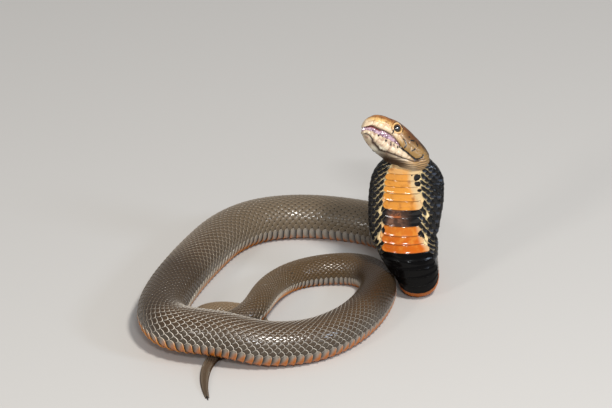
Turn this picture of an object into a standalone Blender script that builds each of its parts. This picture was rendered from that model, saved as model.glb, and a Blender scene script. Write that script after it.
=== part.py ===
"""A Mozambique spitting cobra, life size, lying in a coil with its neck raised and its hood half spread.

The body is one loft along a hand-chosen route, cut into a few lengths. The head is lofted in its own
frame, turned to the snake's right, with the mouth a little open. Sizes below are in millimetres.
"""

import bmesh
import bpy
import numpy as np
from mathutils import Vector

MM = 0.001
GAP = 0.3
MIDDLE = (-7.8, -116.8)
# Facets of a section: from the dorsal line down each flank, and across the belly plate between them.
BODY_FACETS = (6, 10)
TAIL_FACETS = (3, 8)
# Rounds of averaging, a millimetre apart, that take the kinks out of the route.
NECK_RELAXING = 12
BODY_RELAXING = 50
JOIN_RELAXING = 4
# The round body's lower half is a little square; the hood keeps a thick core between thin flanges.
BELLY_SQUARENESS = 0.2
# The belly is pressed this far into the level that it lies on, which leaves a narrow flat under it.
BELLY_SINK = 0.45
HOOD_CORE = 0.55
HOOD_EDGE = 0.42
HOOD_CUPPING = 0.3
# A section is round up to the first of these ratios of width to depth, and a full hood from the second.
HOOD_FROM = 1.35
HOOD_FULL = 2.45

# A belly plate: how far its rear edge stands proud, the run of the step down to the next plate, how far
# it reaches round from the ventral line, in degrees, on the round body and on the spread hood, and the
# angle of the step at its ends.
PLATE_RAISE = 0.5
PLATE_RISER = 0.3
PLATE_SPAN_ROUND = 90.0
PLATE_SPAN_HOOD = 35.0
PLATE_END = 3.0
# Where the body is less deep than this, its plates stand proud in proportion.
FULL_GIRTH = 6.0

# The raised neck from the nape down: x, y, height of the centre, half width, half depth.
RAISED_NECK = (
    (54.6, -97.9, 82.6, 5.6, 4.0),
    (54.0, -97.4, 81.3, 8.6, 5.8),
    (53.2, -96.9, 79.6, 11.6, 7.2),
    (52.7, -96.6, 77.9, 13.7, 8.2),
    (53.0, -96.8, 74.6, 16.1, 8.7),
    (52.8, -97.2, 71.3, 18.3, 8.4),
    (53.2, -98.2, 67.9, 19.6, 7.7),
    (52.7, -99.5, 61.3, 20.1, 6.9),
    (52.4, -100.4, 54.6, 20.1, 6.7),
    (51.9, -100.8, 47.4, 19.5, 7.2),
    (51.7, -101.1, 40.5, 18.8, 7.9),
    (51.7, -101.5, 35.5, 18.2, 8.6),
    (53.2, -102.2, 30.4, 16.8, 9.3),
    (54.0, -102.7, 26.5, 15.9, 9.7),
)
# The sharp bend from the upright neck to the lying body, fanned round a pivot on the inner side.
BEND_PIVOT_Y = -91.1
BEND_DEPTH = 22.0
BEND_INNER = 2.0
BEND_SQUARENESS = 4.0
# Along the bend, from upright to lying: angle in degrees, x of the centre, half width.
BEND = (
    (0, 54.9, 15.0),
    (15, 56.4, 13.5),
    (30, 58.4, 11.5),
    (45, 59.4, 10.7),
    (60, 59.5, 10.8),
    (75, 59.4, 11.1),
    (90, 59.3, 11.3),
)
# The lying body from the bend back to the vent: x, y, height of the centre, half width, half height.
LYING_BODY = (
    (59.0, -80.0, 10.2, 11.5, 10.2),
    (57.2, -69.0, 10.6, 11.8, 10.6),
    (52.8, -57.5, 10.9, 12.2, 10.9),
    (44.8, -47.6, 11.0, 12.5, 11.0),
    (33.3, -40.6, 11.0, 12.6, 11.0),
    (7.3, -33.6, 11.0, 12.7, 11.0),
    (-11.4, -33.6, 11.0, 12.7, 11.0),
    (-28.0, -38.8, 11.0, 12.7, 11.0),
    (-43.0, -52.5, 11.0, 12.7, 11.0),
    (-56.0, -76.7, 11.0, 12.8, 11.1),
    (-65.9, -101.1, 11.4, 12.8, 11.2),
    (-72.5, -123.5, 12.6, 12.8, 11.3),
    (-75.2, -147.5, 14.8, 12.8, 11.3),
    (-69.0, -164.0, 16.2, 12.7, 11.3),
    (-57.3, -170.2, 17.2, 12.6, 11.2),
    (-46.0, -172.6, 17.3, 12.6, 11.1),
    (-35.7, -174.6, 15.8, 12.5, 11.1),
    (-23.7, -175.2, 12.8, 12.4, 11.0),
    (-10.0, -172.8, 11.2, 12.1, 10.8),
    (4.0, -168.0, 10.6, 11.7, 10.6),
    (20.5, -153.4, 10.2, 10.9, 10.2),
    (30.8, -136.3, 9.7, 10.3, 9.7),
    (37.0, -118.5, 9.3, 9.8, 9.3),
    (38.6, -105.0, 8.9, 9.4, 8.9),
    (35.5, -94.5, 8.6, 9.1, 8.6),
    (28.4, -88.3, 8.3, 8.8, 8.3),
    (18.0, -86.8, 8.0, 8.5, 8.0),
    (4.2, -88.6, 7.6, 8.1, 7.6),
    (-6.1, -92.9, 7.4, 7.7, 7.1),
    (-14.2, -102.4, 8.4, 7.4, 6.9),
    (-20.0, -117.4, 11.6, 7.2, 6.7),
    (-23.6, -134.0, 15.6, 7.0, 6.5),
)
# Over and round the tail, then under the front of the coil and out to the tip.
TAIL = (
    (-27.6, -147.0, 16.2, 6.9, 6.4),
    (-36.0, -154.4, 13.4, 6.6, 6.2),
    (-46.5, -153.2, 9.6, 6.2, 5.9),
    (-54.2, -146.5, 6.8, 5.8, 5.5),
    (-56.6, -137.5, 5.5, 5.4, 5.1),
    (-53.0, -129.5, 4.9, 5.0, 4.8),
    (-45.0, -126.0, 4.6, 4.7, 4.5),
    (-35.0, -126.8, 4.3, 4.4, 4.2),
    (-27.6, -130.6, 4.1, 4.2, 4.0),
    (-22.8, -138.4, 3.9, 4.0, 3.8),
    (-23.6, -148.0, 3.7, 3.8, 3.6),
    (-30.0, -155.4, 3.5, 3.6, 3.4),
    (-38.4, -161.0, 3.2, 3.3, 3.1),
    (-45.0, -167.2, 2.9, 3.0, 2.8),
    (-49.6, -176.0, 2.6, 2.7, 2.5),
    (-52.2, -188.3, 2.1, 2.2, 2.0),
    (-51.7, -205.3, 1.3, 1.3, 1.2),
    (-50.0, -213.5, 0.7, 0.6, 0.6),
)
# Where each length of the body ends, in millimetres of route from the nape, and its belly plates' pitch:
# as in life on the hood and the neck, and about one plate for two of the real ones along the coil.
BODY_LENGTHS = (
    ("hood", 61.0, 4.3),
    ("neck_base", 104.0, 4.3),
    ("body_1", 176.0, 8.0),
    ("body_2", 240.0, 8.0),
    ("body_3", 310.0, 8.4),
    ("body_4", 376.0, 5.8),
    ("body_5", 436.0, 8.0),
    ("body_6", 484.0, 8.0),
    ("body_7", 540.0, 5.8),
    ("body_8", 596.0, 7.0),
    ("tail_1", 650.0, 6.0),
    ("tail_2", 700.0, 4.4),
    ("tail_3", 1000.0, 5.0),
)

# The head's own frame: forward along the snout, up through the crown, left out of the near cheek.
HEAD_ORIGIN = (53.4, -98.0, 80.0)
HEAD_FORWARD = (-0.862, -0.024, 0.506)
HEAD_UP = (0.381, 0.626, 0.680)
# Upper head: forward, half width, crown, widest level, upper lip.
UPPER_HEAD = (
    (-7.6, 8.4, 5.6, 2.6, 0.6),
    (-4.6, 10.0, 8.2, 2.6, 1.2),
    (-2.0, 10.3, 9.2, 1.6, -1.2),
    (1.0, 10.4, 10.6, 1.8, -0.9),
    (4.0, 10.3, 11.8, 2.6, -0.2),
    (7.0, 10.0, 12.8, 3.8, 0.5),
    (9.5, 9.6, 13.4, 5.0, 2.2),
    (12.0, 9.2, 13.9, 6.2, 3.8),
    (15.0, 8.7, 14.1, 7.2, 5.1),
    (18.0, 8.1, 13.7, 7.6, 5.4),
    (20.8, 7.4, 13.1, 7.7, 5.3),
    (23.4, 6.7, 12.4, 7.7, 5.3),
    (25.6, 5.8, 11.5, 7.6, 5.7),
    (27.3, 4.6, 10.2, 7.0, 4.6),
    (28.6, 3.2, 8.8, 6.2, 3.3),
    (29.4, 1.5, 7.4, 5.4, 2.9),
)
# Lower jaw: forward, half width, lower lip, underside.
LOWER_JAW = (
    (-4.3, 9.6, 0.2, -6.6),
    (-2.0, 9.8, -1.6, -6.9),
    (1.0, 9.8, -1.3, -6.9),
    (4.0, 9.6, -0.6, -6.8),
    (7.0, 9.2, 0.1, -6.6),
    (9.5, 8.8, 1.1, -6.4),
    (12.0, 8.3, 1.4, -6.0),
    (15.0, 7.7, 1.9, -5.5),
    (18.0, 7.0, 1.7, -4.8),
    (20.8, 6.3, 1.9, -3.9),
    (23.4, 5.4, 2.4, -2.8),
    (25.6, 4.3, 2.3, -1.5),
    (27.2, 3.0, 2.0, -0.3),
    (28.2, 1.6, 1.6, 0.4),
)
# The back of the head, closing inside the nape: forward, half width, crown, underside.
OCCIPUT = (
    (-12.0, 5.0, 3.6, -2.8),
    (-10.8, 7.6, 5.4, -4.6),
    (-8.8, 9.2, 6.8, -5.9),
    (-6.6, 9.9, 7.7, -6.5),
    (-4.6, 10.1, 8.3, -6.8),
)
HEAD_STEP = 1.4
HEAD_FACETS = 16
PALATE_FACETS = 6
OCCIPUT_FACETS = 32
# How square a section's corners are: 1 for an ellipse, less for a squarer one.
CRANIUM_POWER = 0.85
JAW_POWER = 0.8
LINING_POWERS = (0.6, 0.4)
# The cheek and the lip stand in from the widest level, as shares of the half width.
CHEEK_TUCK = 0.99
LIP_TUCK = 0.93
# The lower labials take up this share of the jaw's height.
LABIAL_SHARE = 0.38
LINING = (9.4, 28.6)
LINING_INSET = 1.2
LINING_RINGS = 14
LINING_FACETS = 16
EYE_PLACE = (13.8, 9.0, 7.35)
EYE_RADIUS = 2.05
BROW_LEFT = 8.35
BROW_RADIUS = 2.5
BROW_THICKNESS = 0.55
BROW_SEGMENTS = (24, 8)
NOSTRIL_PLACE = (25.6, 9.3, 5.5)
NOSTRIL_RADIUS = 0.75
BALL_SEGMENTS = 14
NOSTRIL_SEGMENTS = 8
# The fold between the lower labials and the chin, in degrees round from the labials, and how deep it cuts.
CHIN_FOLD = 58.0
CHIN_FOLD_HALF = 5.0
CHIN_FOLD_DEPTH = 0.07
JAW_ANGLES = (0, 15, 30, 44, CHIN_FOLD - CHIN_FOLD_HALF, CHIN_FOLD, CHIN_FOLD + CHIN_FOLD_HALF, 76)


def smooth_curve(points, relaxing, per_span=24):
    """A centripetal Catmull-Rom curve through the rows of points, made even and then relaxed a little."""
    rows = np.array(points, float)
    rows = np.vstack([2 * rows[0] - rows[1], rows, 2 * rows[-1] - rows[-2]])
    curve = []
    for i in range(1, len(rows) - 2):
        four = rows[i - 1 : i + 3]
        steps = np.linalg.norm(np.diff(four[:, :3], axis=0), axis=1) ** 0.5
        t0, t1, t2, t3 = np.concatenate([[0.0], np.cumsum(steps)])
        for t in t1 + (t2 - t1) * np.arange(per_span) / per_span:
            a1 = ((t1 - t) * four[0] + (t - t0) * four[1]) / (t1 - t0)
            a2 = ((t2 - t) * four[1] + (t - t1) * four[2]) / (t2 - t1)
            a3 = ((t3 - t) * four[2] + (t - t2) * four[3]) / (t3 - t2)
            b1 = ((t2 - t) * a1 + (t - t0) * a2) / (t2 - t0)
            b2 = ((t3 - t) * a2 + (t - t1) * a3) / (t3 - t1)
            curve.append(((t2 - t) * b1 + (t - t1) * b2) / (t2 - t1))
    curve = np.array(curve + [rows[-2]])
    distance = along(curve)
    even = at_distance(curve, distance, np.linspace(0.0, distance[-1], int(distance[-1]) + 1))
    for _ in range(relaxing):
        even[1:-1] = (even[:-2] + 2 * even[1:-1] + even[2:]) / 4
    return even


def unit(rows):
    return rows / np.linalg.norm(rows, axis=-1, keepdims=True)


def along(rows):
    """Distance along the rows' first three columns."""
    return np.concatenate([[0.0], np.cumsum(np.linalg.norm(np.diff(rows[:, :3], axis=0), axis=1))])


def at_distance(rows, distances, wanted):
    return np.stack([np.interp(wanted, distances, column) for column in rows.T], axis=1)


def framed(curve, hint):
    """Adds to each row of a curve its dorsal and left directions, with the dorsal side towards the hint."""
    head_ward = -unit(np.gradient(curve[:, :3], axis=0))
    dorsal = np.array(hint) - head_ward * (head_ward @ np.array(hint))[:, None]
    dorsal = unit(dorsal)
    return np.column_stack([curve, dorsal, np.cross(dorsal, head_ward)])


def bend_rows():
    """The rings of the sharp bend, fanned round its pivot: each reaches from the crease to the outer skin."""
    table = np.array(BEND, float)
    angles = np.arange(0.0, 90.1, 5.0)
    turn = np.radians(angles)
    outward = np.stack([np.zeros(len(turn)), -np.cos(turn), -np.sin(turn)], axis=1)
    corner = np.abs(outward[:, 1]) ** BEND_SQUARENESS + np.abs(outward[:, 2]) ** BEND_SQUARENESS
    reach = BEND_DEPTH / corner ** (1 / BEND_SQUARENESS)
    rows = np.zeros((len(turn), 11))
    rows[:, :3] = np.array([0.0, BEND_PIVOT_Y, BEND_DEPTH]) + outward * ((BEND_INNER + reach) / 2)[:, None]
    rows[:, 0] = np.interp(angles, table[:, 0], table[:, 1])
    rows[:, 3] = np.interp(angles, table[:, 0], table[:, 2])
    rows[:, 4] = (reach - BEND_INNER) / 2
    rows[:, 5:8] = -outward
    rows[:, 8] = 1.0
    return rows


def body_rings():
    """Rings a millimetre apart: centre, half width, half depth, dorsal, left, and the bend to the left."""
    bend = bend_rows()
    neck = smooth_curve(RAISED_NECK + (tuple(bend[0, :5]),), NECK_RELAXING)
    lying = smooth_curve((tuple(bend[-1, :5]),) + LYING_BODY + TAIL, BODY_RELAXING)
    neck = framed(neck, (0.0, 1.0, 0.0))
    neck[:, 8:] = bend[0, 8:]
    rows = np.vstack([neck[:-1], bend, framed(lying, (0.0, 0.0, 1.0))[1:]])
    distance = along(rows)
    wanted = np.arange(0.0, distance[-1], 1.0)
    rings = at_distance(rows, distance, wanted)
    for _ in range(JOIN_RELAXING):
        rings[1:-1] = (rings[:-2] + 2 * rings[1:-1] + rings[2:]) / 4
    rings[:, 5:8] = unit(rings[:, 5:8])
    rings[:, 8:11] = unit(rings[:, 8:11])
    turning = np.gradient(unit(np.gradient(rings[:, :3], axis=0)), axis=0)
    bend_to_left = (turning * rings[:, 8:11]).sum(axis=1)
    return wanted, np.column_stack([rings, bend_to_left])


def flatness(rings):
    """How far a ring belongs to the spread hood, from 0 on the round body to 1 at its widest."""
    return np.clip((rings[:, 3] / rings[:, 4] - HOOD_FROM) / (HOOD_FULL - HOOD_FROM), 0.0, 1.0)


def section_angles(hood, facets):
    """Angles of a section's points from the dorsal line, round by the left: flank, belly plate, flank."""
    flank, belly = facets
    span = np.radians(PLATE_SPAN_ROUND + (PLATE_SPAN_HOOD - PLATE_SPAN_ROUND) * hood)
    left = (np.pi - span - np.radians(PLATE_END)) * np.linspace(0.0, 1.0, flank + 1)
    plate = np.pi + span * np.linspace(-1.0, 1.0, belly + 1)
    return np.hstack([left, plate, 2 * np.pi - left[:, :0:-1]])


def skin(rings, raised, facets):
    """Points on the skin of each ring, whose belly plate stands raised by so much.

    The inner side of a tight bend is drawn in, so that the rings there never cross.
    """
    flank, belly = facets
    hood = flatness(rings)[:, None]
    angle = section_angles(hood, facets)
    across, up = np.sin(angle), np.cos(angle)
    plate = np.zeros(angle.shape)
    plate[:, flank + 1 : flank + belly + 2] = raised[:, None]
    lying = np.clip(rings[:, 7], 0.0, 1.0)[:, None]
    power = np.where(up < 0, 1 - BELLY_SQUARENESS * lying, 1.0)
    side = np.sign(across) * np.abs(across) ** power * (rings[:, 3, None] + plate)
    crowding = np.clip(side * rings[:, 11, None], 0.0, None)
    side /= (1 + crowding**4) ** 0.25
    height = np.sign(up) * np.abs(up) ** power
    core = np.exp(-np.abs(across / HOOD_CORE) ** 3)
    thickness = 1 - hood * (1 - core) * (1 - HOOD_EDGE)
    depth = (rings[:, 4, None] + plate) * (height * thickness - hood * HOOD_CUPPING * across**2)
    points = rings[:, None, :3] + rings[:, None, 8:11] * side[..., None]
    points += rings[:, None, 5:8] * depth[..., None]
    points[..., 2] = np.maximum(points[..., 2] - BELLY_SINK * lying, 0.0)
    return points


def loft(rows_of_points):
    """A closed mesh over rings of points, with a fan from each end ring's middle to close it."""
    rows, sides = rows_of_points.shape[:2]
    mesh = bmesh.new()
    placed = (rows_of_points - np.array([*MIDDLE, 0.0])) * MM
    verts = [[mesh.verts.new(point) for point in ring] for ring in placed]
    for near, far in zip(verts, verts[1:]):
        for k in range(sides):
            mesh.faces.new((near[k], near[k - 1], far[k - 1], far[k]))
    for ring, points in ((verts[0], placed[0]), (verts[-1], placed[-1])):
        middle = mesh.verts.new(points.mean(axis=0))
        for k in range(sides):
            mesh.faces.new((ring[k], ring[k - 1], middle))
    bmesh.ops.recalc_face_normals(mesh, faces=mesh.faces)
    bmesh.ops.triangulate(mesh, faces=mesh.faces)
    return mesh


def material(name, colour, roughness):
    made = bpy.data.materials.new(name)
    made.use_nodes = True
    shader = made.node_tree.nodes["Principled BSDF"]
    shader.inputs["Base Color"].default_value = (*colour, 1.0)
    shader.inputs["Roughness"].default_value = roughness
    return made


def add(name, mesh, finish, collection):
    """A named object from a bmesh, with its material, in a collection."""
    data = bpy.data.meshes.new(name)
    mesh.to_mesh(data)
    mesh.free()
    data.materials.append(finish)
    made = bpy.data.objects.new(name, data)
    collection.objects.link(made)
    return made


def boolean(target, other, operation):
    """Joins to the target, or cuts from it, another object, which is then removed.

    The exact solver trips over the nearly level faces inside the head, so this uses the other one.
    """
    modifier = target.modifiers.new(operation.lower(), "BOOLEAN")
    modifier.operation = operation
    modifier.solver = "MANIFOLD"
    modifier.object = other
    bpy.context.view_layer.update()
    graph = bpy.context.evaluated_depsgraph_get()
    result = bpy.data.meshes.new_from_object(target.evaluated_get(graph))
    target.modifiers.remove(modifier)
    target.data = result
    bpy.data.objects.remove(other)


def head_place(forward, up, left):
    """World point of a place given in the head's own frame."""
    front = unit(np.array(HEAD_FORWARD))
    top = np.array(HEAD_UP) - front * (front @ np.array(HEAD_UP))
    top = unit(top)
    side = np.cross(top, front)
    place = np.multiply.outer(forward, front) + np.multiply.outer(up, top) + np.multiply.outer(left, side)
    return place + np.array(HEAD_ORIGIN)


def head_ring(forward, left, up):
    return head_place(np.full(len(left), forward), np.array(up), np.array(left))


def upper_head_ring(station, grow=0.0):
    """One section of the upper head: from the left lip over the crown to the right lip, and the palate."""
    forward, half_width, crown, widest, lip = station
    arc = np.linspace(0.0, np.pi, HEAD_FACETS + 1)
    left = (half_width + grow) * np.sign(np.cos(arc)) * np.abs(np.cos(arc)) ** CRANIUM_POWER
    up = widest + (crown + grow - widest) * np.sin(arc) ** CRANIUM_POWER
    lip_left = half_width * LIP_TUCK + grow
    cheek_left = half_width * CHEEK_TUCK + grow
    cheek = (widest + lip) / 2
    palate = np.linspace(-lip_left, lip_left, PALATE_FACETS + 1)[1:-1]
    left = np.concatenate([[lip_left, cheek_left], left, [-cheek_left, -lip_left], palate])
    up = np.concatenate([[lip - grow, cheek], up, [cheek, lip - grow], np.full(len(palate), lip - grow)])
    return head_ring(forward, left, up)


def lower_jaw_ring(station, grow=0.0):
    """One section of the lower jaw: from the right lip under the chin to the left lip, and the floor."""
    forward, half_width, lip, underside = station
    arc = np.radians([*JAW_ANGLES, 90, *(180 - angle for angle in reversed(JAW_ANGLES))])
    fold = np.where(np.isclose(np.sin(arc), np.sin(np.radians(CHIN_FOLD))), 1 - CHIN_FOLD_DEPTH, 1.0)
    labial = lip - (lip - underside) * LABIAL_SHARE
    left = -(half_width * fold + grow) * np.sign(np.cos(arc)) * np.abs(np.cos(arc)) ** JAW_POWER
    up = labial - ((labial - underside) * fold + grow) * np.sin(arc) ** JAW_POWER
    lip_left = half_width * LIP_TUCK + grow
    floor = np.linspace(lip_left, -lip_left, PALATE_FACETS + 1)[1:-1]
    left = np.concatenate([[-lip_left], left, [lip_left], floor])
    up = np.concatenate([[lip + grow], up, [lip + grow], np.full(len(floor), lip + grow)])
    return head_ring(forward, left, up)


def occiput_ring(station, grow=0.0):
    """One full section of the back of the head."""
    forward, half_width, crown, underside = station
    arc = np.linspace(0.0, 2 * np.pi, OCCIPUT_FACETS, endpoint=False)
    middle = (crown + underside) / 2
    tall = (crown - underside) / 2 + grow
    return head_ring(forward, (half_width + grow) * np.sin(arc), middle + tall * np.cos(arc))


def stations(table):
    """The rows of a table of sections, read at places an even step apart and at both of its ends."""
    rows = np.array(table, float)
    inner = np.arange(np.ceil(rows[0, 0] / HEAD_STEP + 0.1), rows[-1, 0] / HEAD_STEP - 0.1) * HEAD_STEP
    wanted = np.concatenate([[rows[0, 0]], inner, [rows[-1, 0]]])
    return np.column_stack([wanted] + [np.interp(wanted, rows[:, 0], column) for column in rows.T[1:]])


def grown(table, forward_end, back_end):
    """The table's stations with an end moved out by the gap, for a cutter that clears what it matches."""
    rows = stations(table)
    rows[0, 0] -= GAP * back_end
    rows[-1, 0] += GAP * forward_end
    return rows


def ball(name, place, radius, finish, collection, segments=BALL_SEGMENTS):
    """A sphere at a place in the head's frame."""
    mesh = bmesh.new()
    bmesh.ops.create_uvsphere(mesh, u_segments=segments, v_segments=segments // 2, radius=radius * MM)
    centre = (head_place(*place) - np.array([*MIDDLE, 0.0])) * MM
    bmesh.ops.translate(mesh, verts=mesh.verts, vec=centre)
    return add(name, mesh, finish, collection)


def eye_ring(name, place, side, finish, collection):
    """The raised ring of scales round an eye, facing out of the cheek."""
    out = Vector(head_place(0.0, 0.0, float(side)) - np.array(HEAD_ORIGIN))
    centre = (head_place(*place) - np.array([*MIDDLE, 0.0])) * MM
    around, across = BROW_SEGMENTS
    bpy.ops.mesh.primitive_torus_add(major_segments=around, minor_segments=across,
                                     major_radius=BROW_RADIUS * MM, minor_radius=BROW_THICKNESS * MM,
                                     location=centre, rotation=out.to_track_quat("Z", "X").to_euler())
    made = bpy.context.object
    made.name = name
    made.data.materials.append(finish)
    for holder in made.users_collection:
        holder.objects.unlink(made)
    collection.objects.link(made)
    return made


def build_body(collection):
    """The hood, the lengths of the body and the tail, each a loft between its own two ends."""
    scales = material("olive scales", (0.20, 0.17, 0.12), 0.45)
    hood_scales = material("hood scales", (0.36, 0.17, 0.06), 0.45)
    distance, rings = body_rings()
    start = 0.0
    for name, end, pitch in BODY_LENGTHS:
        end = min(end, distance[-1])
        first = start + (GAP / 2 if start else 0.0)
        last = end - (GAP / 2 if end < distance[-1] else 0.0)
        edges = np.linspace(first, last, round((last - first) / pitch) + 1)
        rears = edges[1:] - PLATE_RISER * (edges[1:] < last)
        wanted = np.column_stack([edges[:-1], rears]).ravel()
        girth = np.interp(wanted, distance, rings[:, 4])
        raised = np.tile([0.0, 1.0], len(rears)) * PLATE_RAISE * np.minimum(girth / FULL_GIRTH, 1.0)
        facets = TAIL_FACETS if name.startswith("tail") else BODY_FACETS
        shape = skin(at_distance(rings, distance, wanted), raised, facets)
        add(name, loft(shape), hood_scales if name == "hood" else scales, collection)
        start = end


def build_head(collection):
    """The cranium with its sockets, brows and nostrils, the lower jaw, the lining and the eyes."""
    skin_finish = material("head scales", (0.50, 0.33, 0.15), 0.4)
    lip_finish = material("pale labials", (0.72, 0.60, 0.38), 0.4)
    pink = material("mouth lining", (0.55, 0.36, 0.42), 0.25)
    black = material("eye", (0.01, 0.01, 0.012), 0.05)
    upper = np.array([upper_head_ring(row) for row in stations(UPPER_HEAD)])
    cranium = add("head", loft(upper), skin_finish, collection)
    back = np.array([occiput_ring(row) for row in stations(OCCIPUT)])
    boolean(cranium, add("occiput", loft(back), skin_finish, collection), "UNION")
    for side in (1, -1):
        forward, up, left = EYE_PLACE
        place = (forward, up, left * side)
        brow_place = (forward, up, BROW_LEFT * side)
        boolean(cranium, eye_ring("brow", brow_place, side, skin_finish, collection), "UNION")
        socket = ball("socket", place, EYE_RADIUS + GAP, skin_finish, collection)
        boolean(cranium, socket, "DIFFERENCE")
        ball("eye_left" if side > 0 else "eye_right", place, EYE_RADIUS, black, collection)
        forward, up, left = NOSTRIL_PLACE
        place = (forward, up, left * side)
        nostril = ball("nostril", place, NOSTRIL_RADIUS, skin_finish, collection, NOSTRIL_SEGMENTS)
        boolean(cranium, nostril, "DIFFERENCE")
    lower = np.array([lower_jaw_ring(row) for row in stations(LOWER_JAW)])
    add("lower_jaw", loft(lower), lip_finish, collection)
    add("mouth_lining", loft(lining_rings()), pink, collection)


def lining_rings():
    """The tissue that fills the open mouth, inside the lips of both jaws."""
    upper, lower = stations(UPPER_HEAD), stations(LOWER_JAW)
    side_power, level_power = LINING_POWERS
    arc = np.linspace(0.0, 2 * np.pi, LINING_FACETS, endpoint=False)
    across = np.sign(np.sin(arc)) * np.abs(np.sin(arc)) ** side_power
    high = np.sign(np.cos(arc)) * np.abs(np.cos(arc)) ** level_power
    rings = []
    for forward in np.linspace(*LINING, LINING_RINGS):
        above = np.interp(forward, upper[:, 0], upper[:, 4]) - GAP
        below = np.interp(forward, lower[:, 0], lower[:, 2]) + GAP
        half_width = np.interp(forward, lower[:, 0], lower[:, 1]) * LIP_TUCK - LINING_INSET
        up = (above + below) / 2 + (above - below) / 2 * high
        rings.append(head_ring(forward, half_width * across, up))
    return np.array(rings)


def carve_nape(collection):
    """Cuts the back of the head out of the neck's top, with the gap that keeps the two apart."""
    hood = bpy.data.objects["hood"]
    finish = hood.data.materials[0]
    upper = [upper_head_ring(row, GAP) for row in grown(UPPER_HEAD, 1, 0)]
    back = [occiput_ring(row, GAP) for row in grown(OCCIPUT, 1, 1)]
    lower = [lower_jaw_ring(row, GAP) for row in grown(LOWER_JAW, 1, 1)]
    for rings in (upper, back, lower):
        boolean(hood, add("cutter", loft(np.array(rings)), finish, collection), "DIFFERENCE")
    keep_largest(hood)


def keep_largest(target):
    """Drops every loose scrap of a mesh but its largest closed surface."""
    mesh = bmesh.new()
    mesh.from_mesh(target.data)
    bmesh.ops.remove_doubles(mesh, verts=mesh.verts, dist=1e-7)
    left_over, pieces = set(mesh.faces), []
    while left_over:
        stack, piece = [left_over.pop()], []
        while stack:
            face = stack.pop()
            piece.append(face)
            near = {other for edge in face.edges for other in edge.link_faces} & left_over
            left_over -= near
            stack.extend(near)
        pieces.append(piece)
    pieces.sort(key=lambda piece: sum(face.calc_area() for face in piece))
    scraps = [face for piece in pieces[:-1] for face in piece]
    bmesh.ops.delete(mesh, geom=scraps, context="FACES")
    loose = [vert for vert in mesh.verts if not vert.link_faces]
    bmesh.ops.delete(mesh, geom=loose, context="VERTS")
    bmesh.ops.triangulate(mesh, faces=mesh.faces)
    mesh.to_mesh(target.data)
    mesh.free()


for leftover in list(bpy.data.objects):
    bpy.data.objects.remove(leftover)
snake = bpy.data.collections.new("mozambique spitting cobra")
bpy.context.scene.collection.children.link(snake)
build_body(snake)
build_head(snake)
carve_nape(snake)
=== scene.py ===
"""The dressed model of a Mozambique spitting cobra: skin, scales, plates, head, eyes and mouth."""

import bmesh
import bpy
import numpy as np
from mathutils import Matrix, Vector


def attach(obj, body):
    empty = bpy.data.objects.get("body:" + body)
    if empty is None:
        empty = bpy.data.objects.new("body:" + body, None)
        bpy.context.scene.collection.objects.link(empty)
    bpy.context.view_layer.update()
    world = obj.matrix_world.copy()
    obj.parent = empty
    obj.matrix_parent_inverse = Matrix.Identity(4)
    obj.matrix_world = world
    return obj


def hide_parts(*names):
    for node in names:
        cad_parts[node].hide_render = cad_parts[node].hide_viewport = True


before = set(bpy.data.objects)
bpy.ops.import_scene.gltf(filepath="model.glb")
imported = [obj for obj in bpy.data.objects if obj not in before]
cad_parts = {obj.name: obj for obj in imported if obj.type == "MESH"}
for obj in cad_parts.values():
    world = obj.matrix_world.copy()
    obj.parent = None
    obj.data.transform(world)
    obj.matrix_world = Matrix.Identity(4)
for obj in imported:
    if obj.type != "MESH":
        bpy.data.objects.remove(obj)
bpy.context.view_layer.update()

# THE PATH OF THE BODY
# The snake is one tube of flesh from the nape to the tip of the tail, laid along the route that
# the solids follow: up the raised neck, round a sharp bend, once round the coil and over itself.
MM = 0.001
# The point of the route, in its millimetres, that lies over the origin.
MIDDLE = np.array([-7.8, -116.8, 0.0])
# Rounds of smoothing for the raised neck, for the lying body, and where the parts of the route meet.
NECK_RELAXING = 12
BODY_RELAXING = 50
JOIN_RELAXING = 4
# The raised neck from the nape down: x, y, height of the centre, half width, half depth.
RAISED_NECK = (
    (54.6, -97.9, 82.6, 5.6, 4.0),
    (54.0, -97.4, 81.3, 8.6, 5.8),
    (53.2, -96.9, 79.6, 11.6, 7.2),
    (52.7, -96.6, 77.9, 13.7, 8.2),
    (53.0, -96.8, 74.6, 16.1, 8.7),
    (52.8, -97.2, 71.3, 18.3, 8.4),
    (53.2, -98.2, 67.9, 19.6, 7.7),
    (52.7, -99.5, 61.3, 20.1, 6.9),
    (52.4, -100.4, 54.6, 20.1, 6.7),
    (51.9, -100.8, 47.4, 19.5, 7.2),
    (51.7, -101.1, 40.5, 18.8, 7.9),
    (51.7, -101.5, 35.5, 18.2, 8.6),
    (53.2, -102.2, 30.4, 16.8, 9.3),
    (54.0, -102.7, 26.5, 15.9, 9.7),
)
# The sharp bend, fanned round a pivot on its inner side: angle in degrees, x of the centre, half width.
BEND_PIVOT_Y = -91.1
BEND_DEPTH = 22.0
BEND_INNER = 2.0
BEND_SQUARENESS = 4.0
BEND = (
    (0, 54.9, 15.0),
    (15, 56.4, 13.5),
    (30, 58.4, 11.5),
    (45, 59.4, 10.7),
    (60, 59.5, 10.8),
    (75, 59.4, 11.1),
    (90, 59.3, 11.3),
)
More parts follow.
